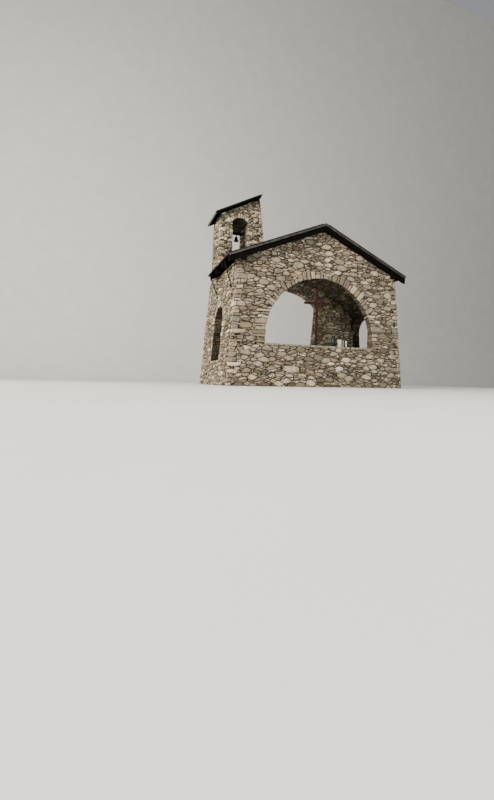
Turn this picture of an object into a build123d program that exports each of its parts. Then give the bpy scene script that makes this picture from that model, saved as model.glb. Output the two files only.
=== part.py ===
from build123d import *
import math
import os

os.makedirs("parts", exist_ok=True)

# A small roadside chapel of rubble stone with a bell tower on its rear left corner.
# Millimetres. X runs along the front, Y from the front to the back, Z up from the foot of the walls.

# Walls: plan at the foot, lean of the faces, thickness and height.
base_width = 6240.0
base_depth = 3640.0
side_lean = 0.093
end_lean = 0.035
wall_thickness = 450.0
thickness_level = 1300.0
side_wall_height = 3660.0
floor_thickness = 300.0

# Front arch: a half circle that opens wider towards the inside, with a ring of arch stones.
arch_radius = 1930.0
arch_splay = 170.0
arch_centre_height = 1440.0
arch_ring_radius = 2250.0

# Parapet that closes the lower part of the front arch.
parapet_height = 1300.0
coping_thickness = 55.0
coping_nosing = 18.0

# Arched window in each side wall, close to the rear pier.
window_width = 1040.0
window_sill_height = 790.0
window_crown_height = 2590.0

# Rear bay: two deep piers and a flat arch between them.
rear_bay_depth = 1425.0
rear_opening_half_width = 1620.0
rear_jamb_lean = 0.06
rear_arch_radius = 2550.0
rear_arch_crown_height = 3790.0

# Barrel vault over the front bay.
vault_radius = 3400.0
vault_crown_height = 3800.0
vault_thickness = 220.0

# Main roof: two slopes of sheet metal with upstanding seams, on boards, rafters and wall plates.
roof_slope = 0.415
eave_overhang = 340.0
verge_overhang = 70.0
sheet_thickness = 12.0
board_thickness = 35.0
board_setback = 20.0
rafter_depth = 155.0
rafter_width = 80.0
rafter_count = 6
purlin_width = 100.0
purlin_depth = 160.0
purlin_cover = 100.0
plate_width = 140.0
plate_inner_margin = 10.0
plate_edge_height = 50.0
ridge_cap_half_width = 110.0
ridge_cap_thickness = 6.0
verge_strip_thickness = 20.0
verge_strip_depth = 50.0
seam_height = 22.0
seam_width = 18.0
seam_trays = 8

# Bell tower.
tower_foot_cover = 110.0
tower_base_height = 650.0
tower_depth = 1100.0
tower_left_lean = 0.036
tower_foot_width = 1847.0
tower_right_lean = 0.125
bell_opening_setback = 479.0
bell_opening_width = 575.0
bell_arch_crown_height = 5890.0
bell_arch_rise = 150.0
tower_eave_height = 5900.0
tower_roof_slope = 0.512
tower_side_overhang = 215.0
tower_high_overhang = 80.0
tower_high_board_setback = 60.0
tower_front_overhang = 150.0
tower_rear_overhang = 90.0
tower_board_thickness = 60.0
tower_sheet_thickness = 14.0
tower_eave_strip = 22.0
tower_seam_trays = 3
tower_seam_stop = 60.0

# Bell, its beam and its hanger.
beam_size = 80.0
beam_bottom_height = 5470.0
pin_drop = 30.0
pin_radius = 6.0
pin_clearance = 0.3
lug_thickness = 12.0
cheek_gap = 5.0
cheek_thickness = 6.0
lug_radius = 17.0
bell_mouth_radius = 95.0
bell_height = 160.0
bell_wall = 8.0
bell_sides = 48
bell_crown_drop = 40.0
staple_drop = 22.0
clapper_pin_radius = 3.0
clapper_rod_radius = 4.0
clapper_ball_radius = 16.0
clapper_ball_drop = 98.0
clapper_length = 200.0
clapper_ball_sides = 24

# Tie rods from the eaves down to the side walls.
tie_radius = 16.0
tie_eave_inset = 45.0
tie_rafter_gap = 145.0
tie_rear_slant = 236.0
tie_foot_height = 2950.0
tie_plate = 90.0
tie_plate_thickness = 10.0

# Cross, candles and vase on the parapet.
cross_x = -70.0
cross_height = 1770.0
cross_member = 65.0
cross_member_depth = 50.0
cross_arm_half_span = 455.0
cross_arm_height = 1350.0
ornament_setback = 250.0
big_candle_radius = 80.0
big_candle_height = 250.0
slim_candle_radius = 27.0
slim_candle_height = 230.0
big_candle_x = 810.0
first_slim_candle_x = 940.0
second_slim_candle_x = 1060.0
vase_x = 575.0
vase_height = 370.0
vase_radius = 80.0
vase_wall = 9.0
vase_sides = 40


def half_width_at(z):
    return base_width / 2 - side_lean * z


def front_at(z):
    return -base_depth / 2 + end_lean * z


def rear_at(z):
    return base_depth / 2 - end_lean * z


# Lines and heights that follow from the sizes above.
reach = 20000.0
roof_angle = math.atan(roof_slope)
tower_angle = math.atan(tower_roof_slope)
front_level_y = front_at(thickness_level)
front_inner_y = front_level_y + wall_thickness
side_inner_x = half_width_at(thickness_level) - wall_thickness
rear_pier_y = base_depth / 2 - rear_bay_depth
window_front_y = rear_pier_y - window_width
window_centre_y = rear_pier_y - window_width / 2
window_spring = window_crown_height - window_width / 2
rear_arch_centre = rear_arch_crown_height - rear_arch_radius
rear_spring = rear_arch_centre + math.sqrt(rear_arch_radius ** 2 - rear_opening_half_width ** 2)
vault_centre = vault_crown_height - vault_radius
tower_foot_height = rear_arch_crown_height + tower_foot_cover
tower_sill_height = tower_foot_height + tower_base_height
board_top = sheet_thickness
board_underside = board_top + board_thickness
rafter_underside = board_underside + rafter_depth
plate_low_x = side_inner_x + plate_inner_margin
plate_high_x = plate_low_x + plate_width
eave_half_width = half_width_at(side_wall_height) + eave_overhang
ridge_over_plate = rafter_underside / math.cos(roof_angle) + roof_slope * plate_high_x
ridge_height = side_wall_height + plate_edge_height + ridge_over_plate
roof_front_y = front_level_y - verge_overhang
roof_rear_y = -roof_front_y


def span(x_low, x_high, y_low, y_high, z_low, z_high):
    size = Box(x_high - x_low, y_high - y_low, z_high - z_low)
    return Pos((x_low + x_high) / 2, (y_low + y_high) / 2, (z_low + z_high) / 2) * size


def plan_face(x_low, x_high, y_low, y_high, z):
    outline = Rectangle(x_high - x_low, y_high - y_low)
    return Pos((x_low + x_high) / 2, (y_low + y_high) / 2, z) * outline


def prism_along_y(points, y_low, y_high):
    outline = Polyline([(x, 0, z) for x, z in points], close=True)
    section = make_face(outline)
    body = extrude(section, amount=y_high - y_low, dir=(0, 1, 0))
    return Pos(0, y_low, 0) * body


def cylinder_along_y(radius, x, z, y_low, y_high):
    body = Rot(90, 0, 0) * Cylinder(radius, y_high - y_low)
    return Pos(x, (y_low + y_high) / 2, z) * body


def cylinder_along_x(radius, y, z, x_low, x_high):
    body = Rot(0, 90, 0) * Cylinder(radius, x_high - x_low)
    return Pos((x_low + x_high) / 2, y, z) * body


def roof_line(depth, x):
    # Height of the plane that lies this far below the sheet's top, measured square to the slope.
    return ridge_height - depth / math.cos(roof_angle) - roof_slope * abs(x)


def below_roof(depth):
    points = [
        (0, roof_line(depth, 0)),
        (reach, roof_line(depth, reach)),
        (reach, -reach),
        (-reach, -reach),
        (-reach, roof_line(depth, reach)),
    ]
    return prism_along_y(points, -reach, reach)


def roof_layer(side, top, bottom, eave, y_low, y_high):
    points = [
        (0, roof_line(top, 0)),
        (side * eave, roof_line(top, eave)),
        (side * eave, roof_line(bottom, eave)),
        (0, roof_line(bottom, 0)),
    ]
    return prism_along_y(points, y_low, y_high)


def mirrored(body):
    return mirror(body, about=Plane.YZ)


def save(body, name):
    body.label = name
    export_step(body, "parts/" + name + ".step")


# The walls are cut out of one block whose four faces lean inwards.
block_top = ridge_height
block_foot_face = plan_face(-half_width_at(0), half_width_at(0), front_at(0), rear_at(0), 0)
block_top_face = plan_face(
    -half_width_at(block_top), half_width_at(block_top), front_at(block_top), rear_at(block_top), block_top
)
block = loft([block_foot_face.face(), block_top_face.face()])
block = block & below_roof(board_underside)

# Bell tower outline: flush with the left and rear walls, leaning in on both sides.
tower_front_y = rear_at(thickness_level) - tower_depth


def tower_left_at(z):
    return tower_left_lean * (z - tower_foot_height) - half_width_at(tower_foot_height)


def tower_right_at(z):
    return tower_foot_width - half_width_at(tower_foot_height) - tower_right_lean * (z - tower_foot_height)


tower_eave_x = tower_side_overhang - tower_left_at(tower_eave_height)
tower_high_level = tower_eave_height + tower_roof_slope * (tower_eave_x + tower_right_at(tower_eave_height))
tower_high_edge_x = -tower_right_at(tower_high_level) - tower_high_overhang
bell_opening_left = -tower_left_at(tower_sill_height) - bell_opening_setback
bell_opening_right = bell_opening_left - bell_opening_width


def tower_roof_line(depth, x):
    drop = depth / math.cos(tower_angle)
    return tower_eave_height - drop + tower_roof_slope * (x + tower_eave_x)


def tower_layer(top, bottom, x_low, x_high, y_low, y_high):
    points = [
        (x_low, tower_roof_line(top, x_low)),
        (x_high, tower_roof_line(top, x_high)),
        (x_high, tower_roof_line(bottom, x_high)),
        (x_low, tower_roof_line(bottom, x_low)),
    ]
    return prism_along_y(points, y_low, y_high)


tower_blank_top = tower_roof_line(0, 0)
tower_foot_face = plan_face(
    tower_left_at(tower_foot_height),
    tower_right_at(tower_foot_height),
    tower_front_y,
    rear_at(tower_foot_height),
    tower_foot_height,
)
tower_top_face = plan_face(
    tower_left_at(tower_blank_top),
    tower_right_at(tower_blank_top),
    tower_front_y,
    rear_at(tower_blank_top),
    tower_blank_top,
)
tower_blank = loft([tower_foot_face.face(), tower_top_face.face()])
tower_roof_depth = tower_sheet_thickness + tower_board_thickness
tower_under_roof = tower_layer(tower_roof_depth, reach / 2, -reach / 2, reach / 2, -reach / 2, reach / 2)
tower_block = tower_blank & tower_under_roof
tower_middle_x = (tower_left_at(tower_foot_height) + tower_right_at(tower_foot_height)) / 2
tower_clear_zone = tower_blank + span(-reach, tower_middle_x, tower_front_y, reach, tower_foot_height, reach)
verge_stop_height = roof_line(0, tower_right_at(tower_foot_height))
verge_stop_x = tower_right_at(verge_stop_height)
behind_tower = span(-reach, verge_stop_x, rear_at(verge_stop_height), reach, 0, reach)
tower_notch = tower_clear_zone + behind_tower
tower_notch = tower_notch + span(
    -reach, tower_right_at(tower_foot_height), tower_front_y, reach, 0, tower_foot_height
)

# Roof timbers. The rafters stand in pairs between the two verges, the outer pairs just clear of the gables.
barge_front_y = roof_front_y + verge_strip_thickness
rafter_pitch = (-2 * barge_front_y - rafter_width) / (rafter_count - 1)
rafter_eave = eave_half_width - board_setback

right_rafters = Part()
for index in range(rafter_count):
    rafter_y = barge_front_y + index * rafter_pitch
    right_rafters += roof_layer(
        1, board_underside, rafter_underside, rafter_eave, rafter_y, rafter_y + rafter_width
    )
left_rafters = mirrored(right_rafters) - tower_notch

purlin_half = purlin_width / 2
purlin_points = [
    (0, roof_line(rafter_underside, 0)),
    (purlin_half, roof_line(rafter_underside, purlin_half)),
    (purlin_half, roof_line(rafter_underside, 0) - purlin_depth),
    (-purlin_half, roof_line(rafter_underside, 0) - purlin_depth),
    (-purlin_half, roof_line(rafter_underside, purlin_half)),
]
purlin_end_y = rear_at(ridge_height) - purlin_cover
ridge_purlin = prism_along_y(purlin_points, -purlin_end_y, purlin_end_y)

plate_points = [
    (plate_low_x, side_wall_height),
    (plate_high_x, side_wall_height),
    (plate_high_x, roof_line(rafter_underside, plate_high_x)),
    (plate_low_x, roof_line(rafter_underside, plate_low_x)),
]
right_wall_plate = prism_along_y(plate_points, barge_front_y, -barge_front_y)
left_wall_plate = mirrored(right_wall_plate) & span(-reach, 0, -reach, tower_front_y, 0, reach)

save(right_rafters, "right_rafters")
save(left_rafters, "left_rafters")
save(ridge_purlin, "ridge_purlin")
save(right_wall_plate, "right_wall_plate")
save(left_wall_plate, "left_wall_plate")

# Roof boards and metal sheets with their upstanding seams. On the left they stop at the tower.
board_eave = eave_half_width - board_setback
right_roof_boards = roof_layer(1, board_top, board_underside, board_eave, barge_front_y, -barge_front_y)
right_roof_sheet = roof_layer(1, 0, board_top, eave_half_width, roof_front_y, roof_rear_y)
seam_zone = span(ridge_cap_half_width, reach, -reach, reach, 0, reach)
seam_pitch = (roof_rear_y - roof_front_y - seam_width) / seam_trays
for index in range(seam_trays + 1):
    seam_y = roof_front_y + index * seam_pitch
    seam = roof_layer(1, -seam_height, board_top, eave_half_width, seam_y, seam_y + seam_width)
    right_roof_sheet += seam & seam_zone
left_roof_boards = mirrored(right_roof_boards) - tower_notch
left_roof_sheet = mirrored(right_roof_sheet) - tower_notch

cap_edge = ridge_cap_half_width
cap_rise = ridge_cap_thickness / math.cos(roof_angle)
cap_points = [
    (0, ridge_height + cap_rise),
    (cap_edge, ridge_height + cap_rise - roof_slope * cap_edge),
    (cap_edge, ridge_height - roof_slope * cap_edge),
    (0, ridge_height),
    (-cap_edge, ridge_height - roof_slope * cap_edge),
    (-cap_edge, ridge_height + cap_rise - roof_slope * cap_edge),
]
ridge_cap = prism_along_y(cap_points, roof_front_y, roof_rear_y)

save(right_roof_boards, "right_roof_boards")
save(left_roof_boards, "left_roof_boards")
save(right_roof_sheet, "right_roof_sheet")
save(left_roof_sheet, "left_roof_sheet")
save(ridge_cap, "ridge_cap")

# Pale metal strips that face the ends of the boards along both verges.
strip_bottom = board_top + verge_strip_depth
front_strip = roof_layer(1, board_top, strip_bottom, board_eave, roof_front_y, barge_front_y)
rear_strip = roof_layer(1, board_top, strip_bottom, board_eave, -barge_front_y, roof_rear_y)
right_verge_strips = front_strip + rear_strip
left_verge_strips = mirrored(right_verge_strips) - tower_notch

save(right_verge_strips, "right_verge_strips")
save(left_verge_strips, "left_verge_strips")

# Front wall: two piers, the gable over them, the ring of arch stones and the parapet.
front_wall = block & span(-reach, reach, -reach, front_inner_y, 0, reach)


def arch_profile(radius, y):
    top = Plane.XZ.offset(-y) * (Pos(0, arch_centre_height) * Circle(radius))
    below = Plane.XZ.offset(-y) * (Pos(0, arch_centre_height - reach / 4) * Rectangle(2 * radius, reach / 2))
    return top, below


splay_rate = arch_splay / wall_thickness
outside_y = front_level_y - wall_thickness
outside_radius = arch_radius - arch_splay
inside_y = front_inner_y + wall_thickness
inside_radius = arch_radius + 2 * arch_splay
outside_top, outside_below = arch_profile(outside_radius, outside_y)
inside_top, inside_below = arch_profile(inside_radius, inside_y)
arch_cone = loft([outside_top.face(), inside_top.face()])
arch_jambs = loft([outside_below.face(), inside_below.face()])
arch_jambs = arch_jambs & span(-reach, reach, -reach, reach, -reach, arch_centre_height)
upper_half = span(-reach, reach, -reach, reach, arch_centre_height, reach)
lower_half = span(-reach, reach, -reach, reach, 0, arch_centre_height)
arch_cone = arch_cone & upper_half

ring_blank = cylinder_along_y(arch_ring_radius, 0, arch_centre_height, -reach, reach)
front_arch_ring = (front_wall & upper_half & ring_blank) - arch_cone
front_gable = (front_wall & upper_half) - ring_blank
front_gable = front_gable - ridge_purlin - right_wall_plate - left_wall_plate
front_piers = (front_wall & lower_half) - arch_jambs
front_left_pier = front_piers & span(-reach, 0, -reach, reach, -reach, reach)
front_right_pier = front_piers & span(0, reach, -reach, reach, -reach, reach)
coping_foot = parapet_height - coping_thickness
parapet_wall = front_wall & arch_jambs & span(-reach, reach, -reach, reach, 0, coping_foot)
coping_front_y = front_at(parapet_height) - coping_nosing
coping_back_y = front_inner_y + coping_nosing
coping_blank = span(-arch_radius, arch_radius, coping_front_y, coping_back_y, coping_foot, parapet_height)
parapet_coping = arch_jambs & coping_blank

save(front_arch_ring, "front_arch_ring")
save(front_gable, "front_gable")
save(front_left_pier, "front_left_pier")
save(front_right_pier, "front_right_pier")
save(parapet_wall, "parapet_wall")
save(parapet_coping, "parapet_coping")

# Side walls between the front wall and the rear piers, each with its arched window.
side_strip = block & span(side_inner_x, reach, front_inner_y, rear_pier_y, 0, side_wall_height)
window_zone = span(0, reach, window_front_y, rear_pier_y, 0, reach)
below_sill = span(0, reach, -reach, reach, 0, window_sill_height)
above_spring = span(0, reach, -reach, reach, window_spring, reach)
window_arch = cylinder_along_x(window_width / 2, window_centre_y, window_spring, 0, reach)
right_side_wall = side_strip & span(0, reach, front_inner_y, window_front_y, 0, reach)
right_window_sill = side_strip & window_zone & below_sill
right_window_head = (side_strip & window_zone & above_spring) - window_arch
left_side_wall = mirrored(right_side_wall)
left_window_sill = mirrored(right_window_sill)
left_window_head = mirrored(right_window_head)

save(right_side_wall, "right_side_wall")
save(right_window_sill, "right_window_sill")
save(right_window_head, "right_window_head")
save(left_side_wall, "left_side_wall")
save(left_window_sill, "left_window_sill")
save(left_window_head, "left_window_head")

# Rear bay: piers with a leaning inner face, and the arched wall over them that also carries the tower.
rear_block = block & span(-reach, reach, rear_pier_y, reach, 0, reach)


def rear_jamb_at(z):
    return rear_opening_half_width - rear_jamb_lean * (rear_spring - z)


jamb_points = [
    (rear_jamb_at(0), 0),
    (reach, 0),
    (reach, rear_spring),
    (rear_jamb_at(rear_spring), rear_spring),
]
right_rear_pier = rear_block & prism_along_y(jamb_points, -reach, reach)
left_rear_pier = mirrored(right_rear_pier)
rear_arch = cylinder_along_y(rear_arch_radius, 0, rear_arch_centre, -reach, reach)
rear_arch_wall = (rear_block & span(-reach, reach, -reach, reach, rear_spring, reach)) - rear_arch
rear_arch_wall = rear_arch_wall - tower_clear_zone
rear_arch_wall = rear_arch_wall - right_rafters - left_rafters - ridge_purlin
rear_arch_wall = rear_arch_wall - right_wall_plate - left_wall_plate

save(right_rear_pier, "right_rear_pier")
save(left_rear_pier, "left_rear_pier")
save(rear_arch_wall, "rear_arch_wall")

# Vault between the side walls, and the floor between all walls.
vault_outer = cylinder_along_y(vault_radius + vault_thickness, 0, vault_centre, front_inner_y, rear_pier_y)
vault_inner = cylinder_along_y(vault_radius, 0, vault_centre, -reach, reach)
vault_zone = span(-side_inner_x, side_inner_x, front_inner_y, rear_pier_y, arch_centre_height, reach)
barrel_vault = (vault_outer - vault_inner) & vault_zone

front_floor = span(-side_inner_x, side_inner_x, front_inner_y, rear_pier_y, 0, floor_thickness)
rear_floor = rear_block & span(-reach, reach, -reach, reach, 0, floor_thickness)
rear_floor = rear_floor - right_rear_pier - left_rear_pier
floor_slab = front_floor + rear_floor

save(barrel_vault, "barrel_vault")
save(floor_slab, "floor_slab")

# Bell tower: a solid base, two piers and a head, arched in front and flat behind, under a single slope.
tower_base = tower_block & span(-reach, reach, -reach, reach, 0, tower_sill_height)
bell_spring = bell_arch_crown_height - bell_arch_rise
bell_half_span = (bell_opening_left - bell_opening_right) / 2
bell_x = -(bell_opening_left + bell_opening_right) / 2
bell_y = (tower_front_y + rear_at(bell_spring)) / 2
bell_arch_radius = (bell_half_span ** 2 + bell_arch_rise ** 2) / (2 * bell_arch_rise)
bell_arch_end = bell_y + beam_size
bell_arch = cylinder_along_y(
    bell_arch_radius, bell_x, bell_arch_crown_height - bell_arch_radius, -reach, bell_arch_end
)
tower_shaft = tower_block & span(-reach, reach, -reach, reach, tower_sill_height, bell_spring)
tower_left_pier = tower_shaft & span(-reach, -bell_opening_left, -reach, reach, 0, reach)
tower_right_pier = tower_shaft & span(-bell_opening_right, reach, -reach, reach, 0, reach)
tower_head = (tower_block & span(-reach, reach, -reach, reach, bell_spring, reach)) - bell_arch

save(tower_base, "tower_base")
save(tower_left_pier, "tower_left_pier")
save(tower_right_pier, "tower_right_pier")
save(tower_head, "tower_head")

# Tower roof.
tower_roof_front = tower_front_y - tower_front_overhang
tower_roof_rear = rear_at(tower_eave_height) + tower_rear_overhang
tower_roof_boards = tower_layer(
    tower_sheet_thickness,
    tower_roof_depth,
    -tower_eave_x + tower_eave_strip,
    -tower_high_edge_x - tower_high_board_setback,
    tower_roof_front,
    tower_roof_rear,
)
tower_roof_sheet = tower_layer(
    0, tower_sheet_thickness, -tower_eave_x, -tower_high_edge_x, tower_roof_front, tower_roof_rear
)
tower_seam_end = -tower_high_edge_x - tower_seam_stop
tower_seam_pitch = (tower_roof_rear - tower_roof_front - seam_width) / tower_seam_trays
for index in range(tower_seam_trays + 1):
    seam_y = tower_roof_front + index * tower_seam_pitch
    tower_roof_sheet += tower_layer(
        -seam_height, tower_sheet_thickness, -tower_eave_x, tower_seam_end, seam_y, seam_y + seam_width
    )
tower_eave_trim = tower_layer(
    tower_sheet_thickness,
    tower_roof_depth,
    -tower_eave_x,
    -tower_eave_x + tower_eave_strip,
    tower_roof_front,
    tower_roof_rear,
)

save(tower_roof_boards, "tower_roof_boards")
save(tower_roof_sheet, "tower_roof_sheet")
save(tower_eave_trim, "tower_eave_trim")

# Beam across the bell opening and the steel hanger with its pin.
beam_y_low = bell_y - beam_size / 2
bell_beam = span(
    -bell_opening_left,
    -bell_opening_right,
    beam_y_low,
    beam_y_low + beam_size,
    beam_bottom_height,
    beam_bottom_height + beam_size,
)
pin_height = beam_bottom_height - pin_drop
cheek_inner = lug_thickness / 2 + cheek_gap
cheek_outer = cheek_inner + cheek_thickness
cheek_profile = span(
    bell_x + cheek_inner, bell_x + cheek_outer, bell_y - lug_radius, bell_y + lug_radius, pin_height,
    beam_bottom_height
)
cheek_round = cylinder_along_x(lug_radius, bell_y, pin_height, bell_x + cheek_inner, bell_x + cheek_outer)
right_cheek = cheek_profile + cheek_round
left_cheek = mirror(right_cheek, about=Plane.YZ.offset(bell_x))
bell_pin = cylinder_along_x(pin_radius, bell_y, pin_height, bell_x - cheek_outer, bell_x + cheek_outer)
bell_hanger = right_cheek + left_cheek + bell_pin

save(bell_beam, "bell_beam")
save(bell_hanger, "bell_hanger")

# Bell: a turned shell with a lug on top and a small staple inside that carries the clapper.
bell_crown = pin_height - bell_crown_drop
bell_mouth = bell_crown - bell_height
shoulder_radius = bell_mouth_radius - 43
waist_radius = bell_mouth_radius - 33
crown_radius = bell_mouth_radius - 60
sound_bow_radius = bell_mouth_radius - 17

bell_outside = [
    (bell_mouth_radius, bell_mouth),
    (bell_mouth_radius, bell_mouth + bell_wall),
    (sound_bow_radius, bell_mouth + bell_height * 0.2),
    (waist_radius, bell_mouth + bell_height * 0.5),
    (shoulder_radius, bell_mouth + bell_height * 0.84),
    (crown_radius, bell_crown),
]
bell_inside = [
    (bell_mouth_radius - bell_wall, bell_mouth),
    (sound_bow_radius - bell_wall, bell_mouth + bell_height * 0.2),
    (waist_radius - bell_wall, bell_mouth + bell_height * 0.5),
    (shoulder_radius - bell_wall, bell_mouth + bell_height * 0.82),
    (crown_radius - bell_wall, bell_crown - bell_wall),
]


def turned(profile, sides, x, y, z):
    # A turned form drawn with flat sides, with one band of them between neighbours of the profile.
    directions = [Vector(1, 0, 0).rotate(Axis.Z, 360 * k / sides) for k in range(sides)]
    rings = [[Vector(x, y, z + height) + way * radius for way in directions] for radius, height in profile]
    faces = [Face(Wire.make_polygon(rings[0])), Face(Wire.make_polygon(rings[-1]))]
    for lower, upper in zip(rings, rings[1:]):
        for k in range(sides):
            faces.append(Face(Wire.make_polygon([lower[k - 1], lower[k], upper[k], upper[k - 1]])))
    return Solid(Shell(faces))


bell_outer = turned(bell_outside, bell_sides, bell_x, bell_y, 0)
bell_shell = bell_outer - turned(bell_inside, bell_sides, bell_x, bell_y, 0)
lug_low = bell_x - lug_thickness / 2
lug_high = bell_x + lug_thickness / 2
lug_stem = span(lug_low, lug_high, bell_y - lug_radius, bell_y + lug_radius, bell_crown, pin_height)
lug_round = cylinder_along_x(lug_radius, bell_y, pin_height, lug_low, lug_high)
lug_hole = cylinder_along_x(pin_radius + pin_clearance, bell_y, pin_height, lug_low - 1, lug_high + 1)
bell_lug = (lug_stem + lug_round) - lug_hole

clapper_pivot = bell_crown - bell_wall - staple_drop
eye_radius = clapper_pin_radius + clapper_rod_radius
eye_half = clapper_rod_radius
staple_inner = eye_half + cheek_gap
staple_outer = staple_inner + clapper_rod_radius
staple_cheek = span(
    bell_x + staple_inner,
    bell_x + staple_outer,
    bell_y - eye_radius,
    bell_y + eye_radius,
    clapper_pivot - eye_radius,
    bell_crown - bell_wall,
)
staple_pair = staple_cheek + mirror(staple_cheek, about=Plane.YZ.offset(bell_x))
staple_low = bell_x - staple_outer
staple_high = bell_x + staple_outer
staple_pin = cylinder_along_x(clapper_pin_radius, bell_y, clapper_pivot, staple_low, staple_high)
bell = bell_shell + bell_lug + staple_pair + staple_pin

save(bell, "bell")

# Clapper: an eye on the staple's pin, a rod, a ball and a tail below the bell's mouth.
clapper_eye = cylinder_along_x(eye_radius, bell_y, clapper_pivot, bell_x - eye_half, bell_x + eye_half)
clapper_middle = clapper_pivot - clapper_length / 2
clapper_rod = Pos(bell_x, bell_y, clapper_middle) * Cylinder(clapper_rod_radius, clapper_length)
ball_low = -clapper_ball_radius
ball_belt = clapper_ball_radius * 0.45
ball_profile = [
    (ball_belt, ball_low),
    (clapper_ball_radius, -ball_belt),
    (clapper_ball_radius, ball_belt),
    (ball_belt, clapper_ball_radius),
]
clapper_ball = turned(ball_profile, clapper_ball_sides, bell_x, bell_y, clapper_pivot - clapper_ball_drop)
hole_low = bell_x - eye_radius * 2
hole_high = bell_x + eye_radius * 2
clapper_hole = cylinder_along_x(clapper_pin_radius + pin_clearance, bell_y, clapper_pivot, hole_low, hole_high)
clapper = (clapper_eye + clapper_rod + clapper_ball) - clapper_hole

save(clapper, "clapper")


# Steel ties that hold the eaves down, each with a plate under the boards and a plate on the wall.
def tie_rod(top_y, foot_y):
    top_x = eave_half_width - tie_eave_inset
    top_z = roof_line(board_underside, top_x)
    foot_x = half_width_at(tie_foot_height)
    top = Vector(top_x, top_y, top_z)
    foot = Vector(foot_x, foot_y, tie_foot_height)
    direction = (foot - top).normalized()
    start = top - direction * tie_plate
    length = (foot - start).length + tie_plate
    rod = Plane(origin=start, z_dir=direction) * Cylinder(
        tie_radius, length, align=(Align.CENTER, Align.CENTER, Align.MIN)
    )
    plate_half = tie_plate / 2
    top_plate = roof_layer(
        1,
        board_underside,
        board_underside + tie_plate_thickness,
        top_x + plate_half / 2,
        top_y - plate_half,
        top_y + plate_half,
    )
    top_plate = top_plate & span(top_x - plate_half, reach, -reach, reach, 0, reach)
    lean = math.degrees(math.atan(side_lean))
    wall_plate = Pos(foot_x, foot_y, tie_foot_height) * Rot(0, -lean, 0) * Box(
        tie_plate_thickness, tie_plate, tie_plate, align=(Align.MIN, Align.CENTER, Align.CENTER)
    )
    tie = (rod & below_roof(board_underside)) + top_plate + wall_plate
    return tie - block


tie_front_y = barge_front_y + rafter_pitch - tie_rafter_gap
fourth_rafter_back = barge_front_y + 3 * rafter_pitch + rafter_width
tie_rear_top_y = (fourth_rafter_back + tower_front_y) / 2
right_front_tie = tie_rod(tie_front_y, tie_front_y)
right_rear_tie = tie_rod(tie_rear_top_y, tie_rear_top_y - tie_rear_slant)
right_eave_ties = right_front_tie + right_rear_tie
left_eave_ties = mirrored(right_eave_ties)

save(right_eave_ties, "right_eave_ties")
save(left_eave_ties, "left_eave_ties")

# Cross on the parapet.
ornament_y = front_level_y + ornament_setback
cross_post = span(
    cross_x - cross_member / 2,
    cross_x + cross_member / 2,
    ornament_y - cross_member_depth / 2,
    ornament_y + cross_member_depth / 2,
    parapet_height,
    parapet_height + cross_height,
)
arm_low = parapet_height + cross_arm_height - cross_member / 2
cross_arm = span(
    cross_x - cross_arm_half_span,
    cross_x + cross_arm_half_span,
    ornament_y - cross_member_depth / 2,
    ornament_y + cross_member_depth / 2,
    arm_low,
    arm_low + cross_member,
)
parapet_cross = cross_post + cross_arm

save(parapet_cross, "parapet_cross")


# Candles and vase beside the cross.
def candle(x, radius, height):
    return Pos(x, ornament_y, parapet_height) * Cylinder(
        radius, height, align=(Align.CENTER, Align.CENTER, Align.MIN)
    )


votive_candles = candle(big_candle_x, big_candle_radius, big_candle_height)
votive_candles += candle(first_slim_candle_x, slim_candle_radius, slim_candle_height)
votive_candles += candle(second_slim_candle_x, slim_candle_radius, slim_candle_height)

save(votive_candles, "votive_candles")

vase_foot_radius = vase_radius * 0.6
vase_neck_radius = vase_radius * 0.5
vase_mouth_radius = vase_radius * 0.7
vase_outside = [
    (vase_foot_radius, 0),
    (vase_radius * 0.85, vase_height * 0.16),
    (vase_radius, vase_height * 0.38),
    (vase_radius * 0.92, vase_height * 0.56),
    (vase_neck_radius, vase_height * 0.80),
    (vase_neck_radius, vase_height * 0.88),
    (vase_mouth_radius, vase_height),
]
vase_inside = [(vase_foot_radius - vase_wall, vase_wall)]
vase_inside += [(radius - vase_wall, height) for radius, height in vase_outside[1:]]
vase_blank = turned(vase_outside, vase_sides, vase_x, ornament_y, parapet_height)
flower_vase = vase_blank - turned(vase_inside, vase_sides, vase_x, ornament_y, parapet_height)

save(flower_vase, "flower_vase")
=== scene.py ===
import bisect
import itertools
import math
import random

import bpy
from mathutils import Matrix, Vector, noise


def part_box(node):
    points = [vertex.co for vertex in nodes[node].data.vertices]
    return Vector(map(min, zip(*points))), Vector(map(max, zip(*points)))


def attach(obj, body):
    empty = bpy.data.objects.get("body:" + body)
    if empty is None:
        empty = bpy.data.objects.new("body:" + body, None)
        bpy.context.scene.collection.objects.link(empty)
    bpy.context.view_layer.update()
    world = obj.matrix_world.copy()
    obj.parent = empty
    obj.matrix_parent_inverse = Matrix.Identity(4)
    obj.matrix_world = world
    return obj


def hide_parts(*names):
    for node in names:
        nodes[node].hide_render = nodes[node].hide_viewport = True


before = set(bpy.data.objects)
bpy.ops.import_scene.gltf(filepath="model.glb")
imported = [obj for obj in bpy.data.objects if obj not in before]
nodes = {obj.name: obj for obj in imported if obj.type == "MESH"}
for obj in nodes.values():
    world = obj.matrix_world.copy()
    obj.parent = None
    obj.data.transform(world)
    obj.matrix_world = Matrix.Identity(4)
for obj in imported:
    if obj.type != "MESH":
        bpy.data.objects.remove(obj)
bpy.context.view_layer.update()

# Walls. Rubble laid in lime mortar, about 0.45 m thick, leaning in as they rise.
# The solid walls are the mortar and the hearting; the stones are set on them further down.
pale_mortar_hex = "#93876f"
# Dark patches of painted shade, for the hollows where mortar has fallen out.
hollow_shade_hex = "#2e271e"
mortar_patch_mm = 85
mortar_grain_mm = 14


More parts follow.
